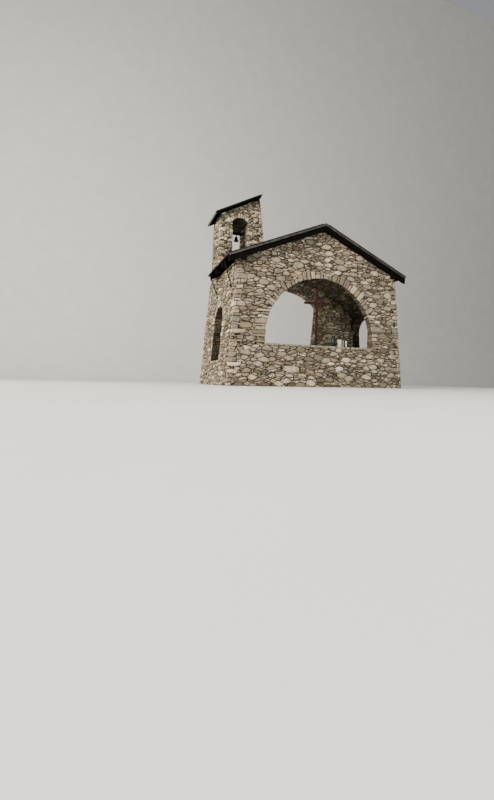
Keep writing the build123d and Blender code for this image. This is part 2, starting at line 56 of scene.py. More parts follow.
def colour(hex_code):
    channels = [int(hex_code[i:i + 2], 16) / 255 for i in (1, 3, 5)]
    linear = [c / 12.92 if c <= 0.04045 else ((c + 0.055) / 1.055) ** 2.4 for c in channels]
    return (*linear, 1.0)


def add_node(material, kind, links=None, **settings):
    node = material.node_tree.nodes.new(kind)
    for name, value in settings.items():
        setattr(node, name, value)
    for name, value in (links or {}).items():
        if isinstance(value, bpy.types.NodeSocket):
            material.node_tree.links.new(value, node.inputs[name])
        else:
            node.inputs[name].default_value = value
    return node


def new_finish(name, hex_code, roughness, metallic=0.0, specular=0.5):
    material = bpy.data.materials.new(name)
    material.use_nodes = True
    shader = material.node_tree.nodes["Principled BSDF"]
    shader.inputs["Base Color"].default_value = colour(hex_code)
    shader.inputs["Roughness"].default_value = roughness
    shader.inputs["Metallic"].default_value = metallic
    shader.inputs["Specular IOR Level"].default_value = specular
    return material, shader


def per_metre(size_mm):
    # Noise scale that gives blotches of about this size, with coordinates in metres.
    return 1000.0 / size_mm


def blotches(material, shader, size_mm, detail, low_hex, high_hex, low=0.35, high=0.65):
    # Colours a material in soft patches, from one colour to the other.
    place = add_node(material, "ShaderNodeTexCoord")
    cloud = add_node(material, "ShaderNodeTexNoise", {
        "Vector": place.outputs["Object"], "Scale": per_metre(size_mm), "Detail": detail, "Roughness": 0.6})
    ramp = add_node(material, "ShaderNodeValToRGB", {"Fac": cloud.outputs["Fac"]})
    for element, position, hex_code in zip(ramp.color_ramp.elements, (low, high), (low_hex, high_hex)):
        element.position = position
        element.color = colour(hex_code)
    material.node_tree.links.new(ramp.outputs["Color"], shader.inputs["Base Color"])


def roughen(material, shader, size_mm, depth_mm, detail=6.0, strength=0.8):
    place = add_node(material, "ShaderNodeTexCoord")
    grain = add_node(material, "ShaderNodeTexNoise", {
        "Vector": place.outputs["Object"], "Scale": per_metre(size_mm), "Detail": detail, "Roughness": 0.65})
    bump = add_node(material, "ShaderNodeBump", {
        "Height": grain.outputs["Fac"], "Distance": depth_mm / 1000, "Strength": strength})
    material.node_tree.links.new(bump.outputs["Normal"], shader.inputs["Normal"])


def paint_nodes(material, *names):
    for name in names:
        mesh = nodes[name].data
        mesh.materials.clear()
        mesh.materials.append(material)


# Lime mortar dries matt and chalky and pale where it stands flush. The dark patches are painted shade, for
# the hollows where it has fallen out.
lime_mortar, shader = new_finish("weathered_lime_mortar", pale_mortar_hex, 0.95, specular=0.2)
blotches(lime_mortar, shader, mortar_patch_mm, 8, hollow_shade_hex, pale_mortar_hex, 0.49, 0.68)
roughen(lime_mortar, shader, mortar_grain_mm, 6)
paint_nodes(
    lime_mortar, "front_left_pier", "front_right_pier", "front_gable", "front_arch_ring", "parapet_wall",
    "left_side_wall", "left_window_sill", "left_window_head",
    "right_side_wall", "right_window_sill", "right_window_head",
    "left_rear_pier", "right_rear_pier", "rear_arch_wall",
    "tower_base", "tower_left_pier", "tower_right_pier", "tower_head", "floor_slab")

# Rubble stones. Split field stone in greyish tans with a few rusty and pink ones, 0.1 to 0.45 m long.
# Each is bedded in the mortar with its roughest side out and stands 10 to 35 mm proud of it.
# No two are alike: the outlines are worked out so that neighbours always leave one even joint.
stone_seed = 7216
chance = random.Random(stone_seed)
noise.seed_set(stone_seed)
stone_hexes = [
    ("#a79c85", 12), ("#9a8e76", 12), ("#8c8069", 12), ("#b5aa93", 8), ("#9d8e6e", 6), ("#817660", 8),
    ("#918c79", 5), ("#988b7b", 5), ("#c0b6a2", 5), ("#736855", 5), ("#a48c69", 3), ("#8d7966", 3),
    ("#9c9c8c", 2), ("#625645", 3), ("#8b7154", 1),
]
stone_choices = [h for h, weight in stone_hexes for _ in range(weight)]
common_hex = "#978b77"
joint_width = 0.015
wall_sizes = ((0.190, 0.30), (0.145, 1.0), (0.108, 2.4), (0.078, 6.0))


def new_pile(name):
    return {"name": name, "points": [], "faces": [], "tones": [], "shade": []}


def add_point(pile, point, tone, shade):
    pile["points"].append(point)
    pile["tones"].append(tone)
    pile["shade"].append(shade)
    return len(pile["points"]) - 1


def stone_tone(tone_and_painted_light=1.0):
    # A stone of its own colour, drawn towards the common one, because all came from the same slope. The
    # factor
    # scales it: for the arches and floor that is the stone's own tone; in the chamber and vault it is painted
    # shade, on the piers painted light.
    light = tone_and_painted_light * chance.uniform(0.45, 1.56)
    own, common = colour(chance.choice(stone_choices)), colour(common_hex)
    return (*(light * (0.62 * own[k] + 0.38 * common[k]) for k in range(3)), 1.0)


def is_mirrored(place, a, b, c):
    here = place(a, b, c)
    along = place(a + 0.01, b, c) - here
    up = place(a, b + 0.01, c) - here
    out = place(a, b, c + 0.01) - here
    return along.cross(up).dot(out) < 0


def cut_outline(outline, nx, ny, limit):
    # Keeps the part of a convex outline on the near side of a straight line.
    kept = []
    for k, (x, y) in enumerate(outline):
        before_x, before_y = outline[k - 1]
        here = nx * x + ny * y - limit
        before = nx * before_x + ny * before_y - limit
        if (here <= 0) != (before <= 0):
            part = before / (before - here)
            kept.append((before_x + part * (x - before_x), before_y + part * (y - before_y)))
        if here <= 0:
            kept.append((x, y))
    return kept


def stones_near(grid, column, row):
    # The stones in one square of the grid and in the two rings of squares round it.
    for i in range(column - 2, column + 3):
        for j in range(row - 2, row + 3):
            yield from grid.get((i, j), ())


def scatter_stones(low_u, high_u, low_v, high_v, stretch, sizes, hold, marked):
    # Middles of the stones: the marked ones, then big ones, then smaller ones in the room left between them.
    # A mark that says bare keeps its place free of stones.
    square = 0.25
    grid = {}
    for u, v, radius, hex_code in marked:
        x, y = u, v * stretch
        stone = (x, y, radius, hex_code != "bare", hex_code)
        grid.setdefault((int(x // square), int(y // square)), []).append(stone)
    for radius, share in sizes:
        tries = int(share * (high_u - low_u) * (high_v - low_v) * stretch / radius ** 2)
        for _ in range(tries):
            u = chance.uniform(low_u, high_u)
            v = chance.uniform(low_v, high_v)
            held_u, held_v = hold(u, v, 0.0)
            depth = math.hypot(held_u - u, held_v - v)
            if 0.0 < depth < 0.8 * radius:
                continue
            x, y = u, v * stretch
            spot = (int(x // square), int(y // square))
            if all(math.hypot(other_x - x, other_y - y) >= (0.95 if mark else 0.70) * (other_radius + radius)
                   for other_x, other_y, other_radius, _, mark in stones_near(grid, *spot)):
                grid.setdefault(spot, []).append((x, y, radius, depth == 0.0, None))
    return grid


def warped(u, v, seed, strength):
    slow = noise.noise_vector(Vector((u * 1.4, v * 1.4, seed)))
    middling = noise.noise_vector(Vector((u * 3.1, v * 4.0, seed + 9.0)))
    quick = noise.noise_vector(Vector((u * 7.0, v * 9.0, seed + 4.0)))
    du = strength * (0.050 * slow.x + 0.018 * middling.x + 0.012 * quick.x)
    dv = strength * (0.080 * slow.y + 0.034 * middling.y + 0.016 * quick.y)
    return u + du, v + dv


def clipped_corners(outline):
    # Knocks the corners off an outline and breaks up its long sides.
    rounded = []
    for k, (x, y) in enumerate(outline):
        for nx, ny in (outline[k - 1], outline[(k + 1) % len(outline)]):
            length = math.hypot(nx - x, ny - y)
            step = min(0.36, chance.uniform(0.005, 0.024) / max(length, 0.001))
            rounded.append((x + (nx - x) * step, y + (ny - y) * step))
        if length > 0.11:
            part = chance.uniform(0.3, 0.7)
            rounded.append((x + (nx - x) * part + chance.uniform(-0.006, 0.006),
                            y + (ny - y) * part + chance.uniform(-0.007, 0.007)))
    return rounded


def outline_area(outline):
    return 0.5 * abs(sum(
        outline[k - 1][0] * outline[k][1] - outline[k][0] * outline[k - 1][1] for k in range(len(outline))))


def add_stone(pile, place, outline, proud, tone):
    # A stone of the wall's face, from its bed in the mortar out to a rough face. Its rim is painted with
    # shade and some dirt, most along its lower edge. Each ring has its inset, its height, the roughness of
    # that height and its shade.
    count = len(outline)
    middle_u = sum(p[0] for p in outline) / count
    middle_v = sum(p[1] for p in outline) / count
    size = math.sqrt(outline_area(outline) / math.pi)
    lean_u = chance.uniform(-0.50, 0.50) * proud
    lean_v = chance.uniform(-0.50, 0.50) * proud
    mirrored = is_mirrored(place, middle_u, middle_v, 0.0)
    start = len(pile["points"])
    rings = (
        (0.0, -0.20, 0.0, 1.0), (0.002, 0.45, 0.10, 0.95),
        (0.010, 0.95, 0.20, 0.38), (0.42 * size, 1.05, 0.26, 0.0))
    for level, (inset, lift, rough, shade) in enumerate(rings):
        narrow = max(0.25, 1 - inset / (0.8 * size))
        for u, v in outline:
            across, up = (u - middle_u) / size, (v - middle_v) / size
            under = 0.5 - 0.5 * up / max(0.01, math.hypot(across, up))
            height = proud * (lift + chance.uniform(-rough, rough))
            if level:
                height += (lean_u * across + lean_v * up) * narrow * (0.5 if level == 1 else 1.0)
                shade_here = shade * (0.35 + 0.65 * under)
            else:
                shade_here = shade
            point = place(middle_u + (u - middle_u) * narrow, middle_v + (v - middle_v) * narrow, height)
            add_point(pile, point, tone, shade_here)
    top = add_point(pile, place(middle_u, middle_v, proud * chance.uniform(0.9, 1.3)), tone, 0.0)
    for level in range(4):
        for k in range(count):
            a = start + level * count + k
            b = start + level * count + (k + 1) % count
            face = (a, b, top) if level == 3 else (a, b, b + count, a + count)
            pile["faces"].append(face[::-1] if mirrored else face)


def split_slabs(outline, stretch):
    # Two thin slabs in the place of one thick stone, with a bed joint that is never quite level.
    lowest, highest = min(p[1] for p in outline), max(p[1] for p in outline)
    tilt = chance.uniform(-0.45, 0.45)
    level = lowest + (highest - lowest) * chance.uniform(0.36, 0.64)
    gap = joint_width * stretch / 2
    return [cut_outline(outline, tilt, 1.0, level - gap), cut_outline(outline, -tilt, -1.0, -level - gap)]


def lay_rubble(pile, place, low_u, high_u, low_v, high_v, hold=None, sizes=wall_sizes, stretch=2.1,
               proud=(0.012, 0.038), tone_and_painted_light=1.0, marked=()):
    # Fills a face with stones. Each starts as a square that is cut back halfway to every neighbour.
    def hold_inside(u, v, margin):
        u = min(max(u, low_u + margin), high_u - margin)
        v = min(max(v, low_v + margin), high_v - margin)
        return hold(u, v, margin) if hold else (u, v)

    seed = chance.uniform(0, 60)
    beyond = 0.12
    most = 0.34
    grid = scatter_stones(
        low_u - beyond, high_u + beyond, low_v - beyond, high_v + beyond, stretch, sizes, hold_inside, marked)
    for column, row in list(grid):
        around = list(stones_near(grid, column, row))
        for x, y, radius, is_free, hex_code in grid[column, row]:
            if not is_free:
                continue
            outline = [(-most, -most), (most, -most), (most, most), (-most, most)]
            for other_x, other_y, other_radius, _, _ in around:
                dx, dy = other_x - x, other_y - y
                distance = math.hypot(dx, dy)
                if distance == 0.0 or distance > 0.66:
                    continue
                nx, ny = dx / distance, dy / distance
                joint = joint_width * chance.uniform(0.15, 0.80) * math.hypot(nx, ny * stretch)
                limit = (distance ** 2 + radius ** 2 - other_radius ** 2) / (2 * distance) - joint
                outline = cut_outline(outline, nx, ny, limit)
                if len(outline) < 3:
                    break
            if len(outline) < 3:
                continue
            height = (max(p[1] for p in outline) - min(p[1] for p in outline)) / stretch
            parts = [outline]
            if not hex_code and height > 0.085 and chance.random() < 0.45:
                parts = split_slabs(outline, stretch)
            for part in parts:
                if len(part) < 3:
                    continue
                strength = 0.3 if hex_code else 1.0
                flat = [warped(x + px, (y + py) / stretch, seed, strength) for px, py in part]
                held = [hold_inside(u, v, joint_width / 2) for u, v in clipped_corners(flat)]
                area = outline_area(held)
                if area < 0.0009 or area < 0.3 * outline_area(flat):
                    continue
                tone = colour(hex_code) if hex_code else stone_tone(tone_and_painted_light)
                add_stone(pile, place, held, chance.uniform(*proud), tone)


def add_piece(name, points, faces, material):
    mesh = bpy.data.meshes.new(name)
    mesh.from_pydata(points, [], faces)
    mesh.materials.append(material)
    piece = bpy.data.objects.new(name, mesh)
    bpy.context.scene.collection.objects.link(piece)
    return piece


def set_stones(pile, material):
    piece = add_piece(pile["name"], [tuple(p) for p in pile["points"]], pile["faces"], material)
    tones = piece.data.attributes.new("stone_tone", "FLOAT_COLOR", "POINT")
    tones.data.foreach_set("color", [value for tone in pile["tones"] for value in tone])
    shade = piece.data.attributes.new("joint_shade", "FLOAT", "POINT")
    shade.data.foreach_set("value", pile["shade"])
    piece.data.update()
    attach(piece, "chapel")


# Split stone is matt, with a fine crystalline grain and rusty and grey-green weathering. Painted shade, with
# some dirt, darkens its rims at the joints.
def stone_finish(name, weather_hex, weather_amount, shade_and_dirt_hex="#1f1a13"):
    material, shader = new_finish(name, "#a4967b", 0.9, specular=0.25)
    tone = add_node(material, "ShaderNodeAttribute", attribute_name="stone_tone")
    rim = add_node(material, "ShaderNodeAttribute", attribute_name="joint_shade")
    place = add_node(material, "ShaderNodeTexCoord")
    amounts = []
    for size_mm, detail, roughness, low, high, least, most in (
            (60, 8.0, 0.75, 0.32, 0.68, 0.52, 1.5), (240, 5.0, 0.65, 0.52, 0.70, 0.0, weather_amount),
            (130, 3.0, 0.5, 0.36, 0.54, 0.68, 1.0)):
        cloud = add_node(material, "ShaderNodeTexNoise", {
            "Vector": place.outputs["Object"], "Scale": per_metre(size_mm), "Detail": detail,
            "Roughness": roughness})
        amount = add_node(material, "ShaderNodeMapRange", {
            "Value": cloud.outputs["Fac"], "From Min": low, "From Max": high,
            "To Min": least, "To Max": most})
        amounts.append(amount.outputs[0])
    mottling, weathering, shade_and_dirt_left = amounts
    speckled = add_node(material, "ShaderNodeVectorMath", {0: tone.outputs["Color"], 1: mottling},
                        operation="MULTIPLY")
    weathered = add_node(material, "ShaderNodeMix", {
        "Factor": weathering, "A": speckled.outputs[0], "B": colour(weather_hex)}, data_type="RGBA")
    # Painted shade, with some dirt, darkens each stone's rim by its joint_shade value, most at the joints and
    # under the stone.
    shade_and_dirt = add_node(material, "ShaderNodeMath", {0: rim.outputs["Fac"], 1: shade_and_dirt_left}, operation="MULTIPLY")
    shaded_and_dirty = add_node(material, "ShaderNodeMix", {
        "Factor": shade_and_dirt.outputs[0], "A": weathered.outputs["Result"], "B": colour(shade_and_dirt_hex)}, data_type="RGBA")
    material.node_tree.links.new(shaded_and_dirty.outputs["Result"], shader.inputs["Base Color"])
    roughen(material, shader, 24, 9, detail=8.0, strength=1.0)
    return material


wall_rubble = stone_finish("weathered_split_stone", "#6f6b50", 0.45)

# Corner stones. Long flat blocks of the same stone at the four outer corners, one to a course.
# Each wraps from one face of the wall to the next, long on one and short on the other by turns.
base_half_width = -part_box("front_left_pier")[0][0]
base_half_depth = -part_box("front_left_pier")[0][1]
side_lean = 0.093
end_lean = 0.035
tower_left_lean = 0.036
tower_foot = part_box("tower_base")[0][2]
course_heights = (0.06, 0.08, 0.10, 0.13, 0.17)


def half_width(z):
    return base_half_width - side_lean * z


def front_face(z):
    return end_lean * z - base_half_depth


def rear_face(z):
    return base_half_depth - end_lean * z


def left_edge(z):
    if z < tower_foot:
        return -half_width(z)
    return tower_left_lean * (z - tower_foot) - half_width(tower_foot)


def add_block(pile, place, low, high, tone=None, edge=0.022, lumps=0.014, joint=joint_width, along=1,
              inner_shade=1.0):
    # A whole stone that shows two or more faces. The joint is taken off the axis that runs along the edge.
    # Its inner part is painted darker, as painted shade for the shade inside an opening.
    low, high = list(low), list(high)
    low[along] += joint * chance.uniform(0.3, 0.7)
    high[along] -= joint * chance.uniform(0.3, 0.7)
    steps = []
    for axis in range(3):
        radius = min(edge * chance.uniform(0.6, 1.4), (high[axis] - low[axis]) * 0.35)
        middle = (low[axis] + high[axis]) / 2 + chance.uniform(-0.12, 0.12) * (high[axis] - low[axis])
        steps.append((low[axis], low[axis] + radius, middle, high[axis] - radius, high[axis]))
    middle = Vector([(low[a] + high[a]) / 2 for a in range(3)])
    length = max(0.01, high[along] - low[along])
    mirrored = is_mirrored(place, *middle)
    tone = tone or stone_tone()
    seed = chance.uniform(0, 90)
    crooks = [chance.uniform(-0.022, 0.022) for _ in range(4)]
    across = [axis for axis in range(3) if axis != along]
    index = {}
    last = 4
    for key in itertools.product(range(last + 1), repeat=3):
        ends = sum(n in (0, last) for n in key)
        if not ends:
            continue
        point = Vector([steps[axis][n] for axis, n in enumerate(key)])
        if ends > 1:
            inner = Vector([steps[axis][min(max(n, 1), last - 1)] for axis, n in enumerate(key)])
            point = point.lerp(inner, 0.30 if ends == 2 else 0.42)
        rise = (point[along] - middle[along]) / length
        for axis, bend in zip(across, crooks):
            point[axis] += bend * rise * (1 if point[axis] > middle[axis] else 0.0)
        shift = noise.noise_vector(point * 12 + Vector((seed, seed, 0))) * lumps
        # Painted shade: every part except the outer face is darkened.
        light = inner_shade if key[2] else 1.0
        # Painted joint shade on the block's ends, where it meets its neighbours.
        rim = abs(point[along] - middle[along]) / (length / 2)
        index[key] = add_point(
            pile, place(*(point + shift)), (*(channel * light for channel in tone[:3]), 1.0),
            0.75 if rim > 0.93 else 0.0)
    for axis, side, p, q in itertools.product(range(3), (0, last), range(last), range(last)):
        corners = []
        for dp, dq in ((0, 0), (1, 0), (1, 1), (0, 1)):
            key = [0, 0, 0]
            key[axis], key[(axis + 1) % 3], key[(axis + 2) % 3] = side, p + dp, q + dq
            corners.append(index[tuple(key)])
        flip = (side == 0) != mirrored
        pile["faces"].append(tuple(corners[::-1] if flip else corners))


course_lines = [0.0]
while course_lines[-1] < 7.0:
    course_lines.append(course_lines[-1] + chance.choice(course_heights) * chance.uniform(0.9, 1.1))


def courses_between(z_low, z_high, thinnest=0.045):
    # The number, foot and top of each course between two heights, without slivers.
    for number in range(len(course_lines) - 1):
        low, high = max(course_lines[number], z_low), min(course_lines[number + 1], z_high)
        if high - low >= thinnest:
            yield number, low, high


def corner_stones(pile, place, z_low, z_high, proud=0.016, reach_a=(0.10, 0.42), reach_b=(0.08, 0.32),
                  inner_shade=1.0):
    # Corner stones, one to a course, long on one face and short on the other by turns.
    # Their beds wave up and down, because no two courses are level.
    reaches = {}
    seed = chance.uniform(0, 90)

    def waved(a, b, c):
        wave = 0.030 * noise.noise(Vector((a * 3.5 + seed, b * 2.2, c * 3.5)))
        return place(a, max(z_low, b + wave), c)

    for number, low, high in courses_between(z_low, z_high):
        long_a = number % 2 == 0
        a = chance.uniform(*reach_a) * (1.0 if long_a else 0.6)
        b = chance.uniform(*reach_b) * (0.6 if long_a else 1.0)
        stand = proud * chance.uniform(0.3, 1.3)
        add_block(pile, waved, (-stand, low, -stand), (a, high, b), stone_tone(), inner_shade=inner_shade,
                  edge=chance.uniform(0.012, 0.034), lumps=0.024)
        reaches[number] = (a, b)
    return reaches


def corner_place(x_line, x_way, y_line, y_way):
    # Places at an upright corner: a runs from it along the width, b is the height, c runs along the depth.
    return lambda a, b, c: Vector((x_line(b) + x_way * a, y_line(b) + y_way * c, b))


corners_pile = new_pile("corner_stones")
corner_top, tower_corner_top = 3.62, 5.82
front_left = corner_stones(
    corners_pile, corner_place(lambda z: -half_width(z), 1, front_face, 1), 0.0, corner_top)
front_right = corner_stones(corners_pile, corner_place(half_width, -1, front_face, 1), 0.0, corner_top)
rear_right = corner_stones(corners_pile, corner_place(half_width, -1, rear_face, -1), 0.0, corner_top)
rear_left = corner_stones(corners_pile, corner_place(left_edge, 1, rear_face, -1), 0.0, tower_corner_top)
set_stones(corners_pile, wall_rubble)

# Front arch. Flat slabs up both haunches, and from there rough wedge stones set on edge round the crown.
# All run through the whole wall, and their back ends are ragged, because no two are equally long.
# The parts of the arch stones inside the opening are painted darker as painted shade.
wall_thickness = 0.45
past_face = 0.012
arch_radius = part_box("parapet_coping")[1][0]
arch_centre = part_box("front_arch_ring")[0][2]
arch_spread = 0.17 / wall_thickness
coping_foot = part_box("parapet_coping")[0][2]
front_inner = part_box("parapet_wall")[1][1]
front_level = front_inner - wall_thickness
haunch_top = arch_centre + 0.95
haunch_angle = math.asin((haunch_top - arch_centre) / arch_radius)
arch_pile = new_pile("front_arch_stones")


def arch_edge(z, radius):
    return math.sqrt(radius ** 2 - max(0.0, z - arch_centre) ** 2)


haunches = {-1: {}, 1: {}}
for side in (-1, 1):
    def haunch_place(a, b, c):
        y = front_face(b) + c
        return Vector((side * (arch_edge(b, arch_radius + arch_spread * (y - front_level)) + a), y, b))

    for number, low, high in courses_between(coping_foot + 0.05, haunch_top, 0.04):
        reach = chance.uniform(0.12, 0.46)
        depth = front_inner - front_face((low + high) / 2)
        add_block(arch_pile, haunch_place, (-chance.uniform(0.0, 0.02), low, -chance.uniform(0.006, 0.024)),
                  (reach, high, depth + past_face), stone_tone(1.03), inner_shade=0.4)
        haunches[side][number] = (reach, 0.0)


def cut_wedges(start, end, radius, widths, reaches, least):
    # Wedge stones round an arch, each with its first and last angle and its length.
    wedges = []
    angle = start
    while angle < end - 0.01:
        width = chance.uniform(*widths) / radius
        if end - angle - width < least:
            width = end - angle
        wedges.append((angle, angle + width, chance.uniform(*reaches)))
        angle += width
    return wedges


def arch_place(a, b, c):
    y = front_face(arch_centre + arch_radius * math.sin(b)) + c
    radius = arch_radius + arch_spread * (y - front_level) + a
    return Vector((radius * math.cos(b), y, arch_centre + radius * math.sin(b)))


arch_wedges = cut_wedges(
    haunch_angle, math.pi - haunch_angle, arch_radius, (0.065, 0.19), (0.11, 0.33), 0.035)
trim = joint_width / 2 / arch_radius
for low, high, reach in arch_wedges:
    depth = front_inner - front_face(arch_centre + arch_radius * math.sin((low + high) / 2))
    add_block(arch_pile, arch_place, (-chance.uniform(0.0, 0.02), low + trim, -chance.uniform(0.006, 0.028)),
              (reach, high - trim, depth + past_face), stone_tone(1.08), joint=0.0, lumps=0.010, inner_shade=0.4)
set_stones(arch_pile, wall_rubble)

# Front wall. Rubble from the ground to the roof, over the piers, the parapet and the gable.
# A few single stones catch the eye: a round reddish one in the gable, pale ovals and long slabs.
ridge_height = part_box("left_roof_sheet")[1][2]
roof_slope = 0.415
roof_depth = 0.047


def roof_line(x, depth=0.0):
    # Height of a line under the roof's top face, measured square to the slope.
    return ridge_height - depth * math.hypot(1, roof_slope) - roof_slope * abs(x)


def wedge_reach(wedges, angle):
    for low, high, reach in wedges:
        if low <= angle <= high:
            return reach
    return 0.2


def push_out(u, v, centre_u, centre_v, reach):
    # Moves a point that lies inside a ring of arch stones straight out to the back of the ring.
    distance = math.hypot(u - centre_u, v - centre_v)
    if distance >= reach:
        return u, v
    grow = reach / max(distance, 0.01)
    return centre_u + (u - centre_u) * grow, centre_v + (v - centre_v) * grow


def reach_at(reaches, z, side):
    number = max(0, bisect.bisect_right(course_lines, z) - 1)
    return reaches.get(number, (0.0, 0.0))[side]


def between(u, v, margin, low_line, low_reaches, high_line, high_reaches, side):
    # Keeps a point between the corner stones at the two ends of a wall.
    low = low_line + reach_at(low_reaches, v, side) + margin
    high = high_line - reach_at(high_reaches, v, side) - margin
    return min(max(u, low), high)


def hold_arch(u, v, margin, radius):
    # Keeps the wall's rubble out of the opening and off the stones that edge it.
    if v > haunch_top:
        angle = math.atan2(v - arch_centre, u)
        reach = wedge_reach(arch_wedges, angle) if haunch_angle < angle < math.pi - haunch_angle else 0.0
        return push_out(u, v, 0.0, arch_centre, radius + reach + margin)
    if v > coping_foot - margin:
        side = 1 if u > 0 else -1
        edge = arch_edge(v, radius) + reach_at(haunches[side], v, 0) + margin
        if abs(u) < edge:
            if v - coping_foot < edge - abs(u):
                return u, coping_foot - margin
            return side * edge, v
    return u, v


def hold_front(u, v, margin):
    u, v = hold_arch(u, v, margin, arch_radius)
    u = between(u, v, margin, -half_width(v), front_left, half_width(v), front_right, 0)
    return u, min(v, roof_line(u, roof_depth) - margin)


gable_top = ridge_height - 0.03
front_pile = new_pile("front_wall_stones")
front_marks = [
    (-0.926, 4.217, 0.150, "#645446"), (2.547, 3.095, 0.225, "#b9ae9a"), (-2.846, 2.755, 0.200, "#b1a795"),
    (-2.824, 1.594, 0.210, "#b4ab9b"), (-2.520, 1.786, 0.190, "#8f7e62"), (-1.061, 0.543, 0.270, "#b9ad97"),
    (0.212, 3.830, 0.140, "#b3a68d"), (0.520, 3.640, 0.150, "#c1b69f"), (0.601, 3.983, 0.190, "#9d9179"),
    (-0.842, 3.720, 0.190, "#a0947c"), (-2.535, 0.999, 0.170, "#a3957d"), (2.485, 2.658, 0.160, "#a0967f"),
    (2.724, 1.060, 0.190, "#b3a892"),
]
lay_rubble(front_pile, lambda u, v, h: Vector((u, front_face(v) - h, v)), -base_half_width, base_half_width,
           0.0, gable_top, hold_front, marked=front_marks)
set_stones(front_pile, wall_rubble)

# Side windows. A round-headed opening in each side wall, with no frame and no glass.
# Through stones stand up its jambs, small wedge stones close its head and flat slabs make its sill.
window_front, window_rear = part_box("left_window_sill")[0][1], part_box("left_window_sill")[1][1]
window_middle = (window_front + window_rear) / 2
window_radius = (window_rear - window_front) / 2
window_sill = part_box("left_window_sill")[1][2]
window_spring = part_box("left_window_head")[0][2]
side_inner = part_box("right_side_wall")[0][0]
slab_height = 0.055
window_stones = {}
for side, name in ((-1, "left_window_stones"), (1, "right_window_stones")):
    window_pile = new_pile(name)

    def jamb_place(line, way):
        return lambda a, b, c: Vector((side * (half_width(b) - c), line + way * a, b))

    def head_place(a, b, c):
        radius = window_radius + a
        z = window_spring + radius * math.sin(b)
        return Vector((side * (half_width(z) - c), window_middle + radius * math.cos(b), z))

    def sill_place(a, b, c):
        return Vector((side * (half_width(window_sill) - a), b, window_sill + c))

    front_jamb, rear_jamb = {}, {}
    # The jamb and head stones are painted darker inside the opening as painted shade, the rear jamb darkest.
    for number, low, high in courses_between(window_sill, window_spring):
        through = half_width((low + high) / 2) - side_inner
        front_jamb[number] = (chance.uniform(0.12, 0.34), 0.0)
        rear_jamb[number] = (chance.uniform(0.12, 0.36), 0.0)
        stand = chance.uniform(0.006, 0.022)
        add_block(window_pile, jamb_place(window_front, -1), (-0.012, low, -stand),
                  (front_jamb[number][0], high, through + past_face), inner_shade=0.4)
        add_block(window_pile, jamb_place(window_rear, 1), (-0.014, low, -stand),
                  (rear_jamb[number][0], high, through * 0.7), inner_shade=0.09)
    wedges = cut_wedges(0.0, math.pi, window_radius, (0.06, 0.12), (0.13, 0.25), 0.07)
    trim = joint_width / 2 / window_radius
    for low, high, reach in wedges:
        z = window_spring + window_radius * math.sin((low + high) / 2)
        add_block(window_pile, head_place, (-0.008, low + trim, -chance.uniform(0.006, 0.022)),
                  (reach, high - trim, half_width(z) - side_inner + 0.01), joint=0.0, edge=0.012, inner_shade=0.15)
    window_stones[side] = (front_jamb, rear_jamb, wedges)
    y = window_front
    while y < window_rear - 0.05:
        length = min(chance.uniform(0.16, 0.34), window_rear - y)
        add_block(window_pile, sill_place, (-0.022, y, -slab_height),
                  (half_width(window_sill) - side_inner + past_face, y + length, 0.008))
        y += length
    set_stones(window_pile, wall_rubble)

# Side walls. The same rubble set over both side walls, up to the stones that edge the windows.
# The left one runs straight up into the tower; the right one stops under the eaves. The foot plates of the
# eave ties sit on bare wall between the stones.
wall_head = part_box("left_side_wall")[1][2]


def push_aside(u, v, low_line, high_line, middle, sill, stop):
    # Moves a point that lies between two jambs behind one of them, or below the sill where that is nearer.
    if not low_line < u < high_line:
        return u, v
    if v - sill < min(u - low_line, high_line - u):
        return u, stop
    return (low_line if u < middle else high_line), v


def hold_window(side, u, v, margin, has_rear=True):
    # Keeps the rubble out of a window. Inside the chamber the rubble ends before its rear jamb.
    front_jamb, rear_jamb, wedges = window_stones[side]
    if v > window_spring:
        reach = wedge_reach(wedges, math.atan2(v - window_spring, u - window_middle))
        return push_out(u, v, window_middle, window_spring, window_radius + reach + margin)
    stop = window_sill - slab_height - margin
    if v <= stop:
        return u, v
    front_line = window_front - reach_at(front_jamb, v, 0) - margin
    if not has_rear:
        return push_aside(u, v, front_line, math.inf, math.inf, window_sill, stop)
    rear_line = window_rear + reach_at(rear_jamb, v, 0) + margin
    return push_aside(u, v, front_line, rear_line, window_middle, window_sill, stop)


tower_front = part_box("tower_base")[0][1]
tie_low, tie_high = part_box("left_eave_ties")
tie_plate = 0.090
tie_slant = 0.236
foot_z = tie_low[2] + tie_plate / 2
feet = [(tie_low[1] + tie_plate / 2, foot_z, 0.10, "bare"),
        (tie_high[1] - tie_plate / 2 - tie_slant, foot_z, 0.10, "bare")]
for side, name, top, front_corner, rear_corner in (
        (-1, "left_wall_stones", tower_foot, front_left, rear_left),
        (1, "right_wall_stones", wall_head, front_right, rear_right)):
    side_pile = new_pile(name)

    def hold_side(u, v, margin):
        u, v = hold_window(side, u, v, margin)
        if v > wall_head:
            u = max(u, tower_front + margin)
        return between(u, v, margin, front_face(v), front_corner, rear_face(v), rear_corner, 1), v

    lay_rubble(side_pile, lambda u, v, h: Vector((side * (half_width(v) + h), u, v)),
               -base_half_depth, base_half_depth, 0.0, top, hold_side, proud=(0.012, 0.042), marked=feet)
    set_stones(side_pile, wall_rubble)

# Rear doorway. Two deep piers that stand closer at the floor than at the top, edged with corner stones,
# and a flat arch of long wedge stones between them. The wedges show at the back and inside the chamber.
rear_radius = 2.55
rear_centre = 1.24
door_half_width = 1.62
door_lean = 0.06
rear_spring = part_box("left_rear_pier")[1][2]
pier_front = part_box("left_rear_pier")[0][1]
floor_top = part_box("floor_slab")[1][2]


def jamb_at(z):
    return door_half_width - door_lean * (rear_spring - z)


def pier_face(z):
    return pier_front


def ring_place(middle, centre, radius, y_line, y_way):
    # Places round an arch: a runs out from its edge, b is the angle, c runs into the wall.
    def place(a, b, c):
        z = centre + (radius + a) * math.sin(b)
        return Vector((middle + (radius + a) * math.cos(b), y_line(z) + y_way * c, z))

    return place


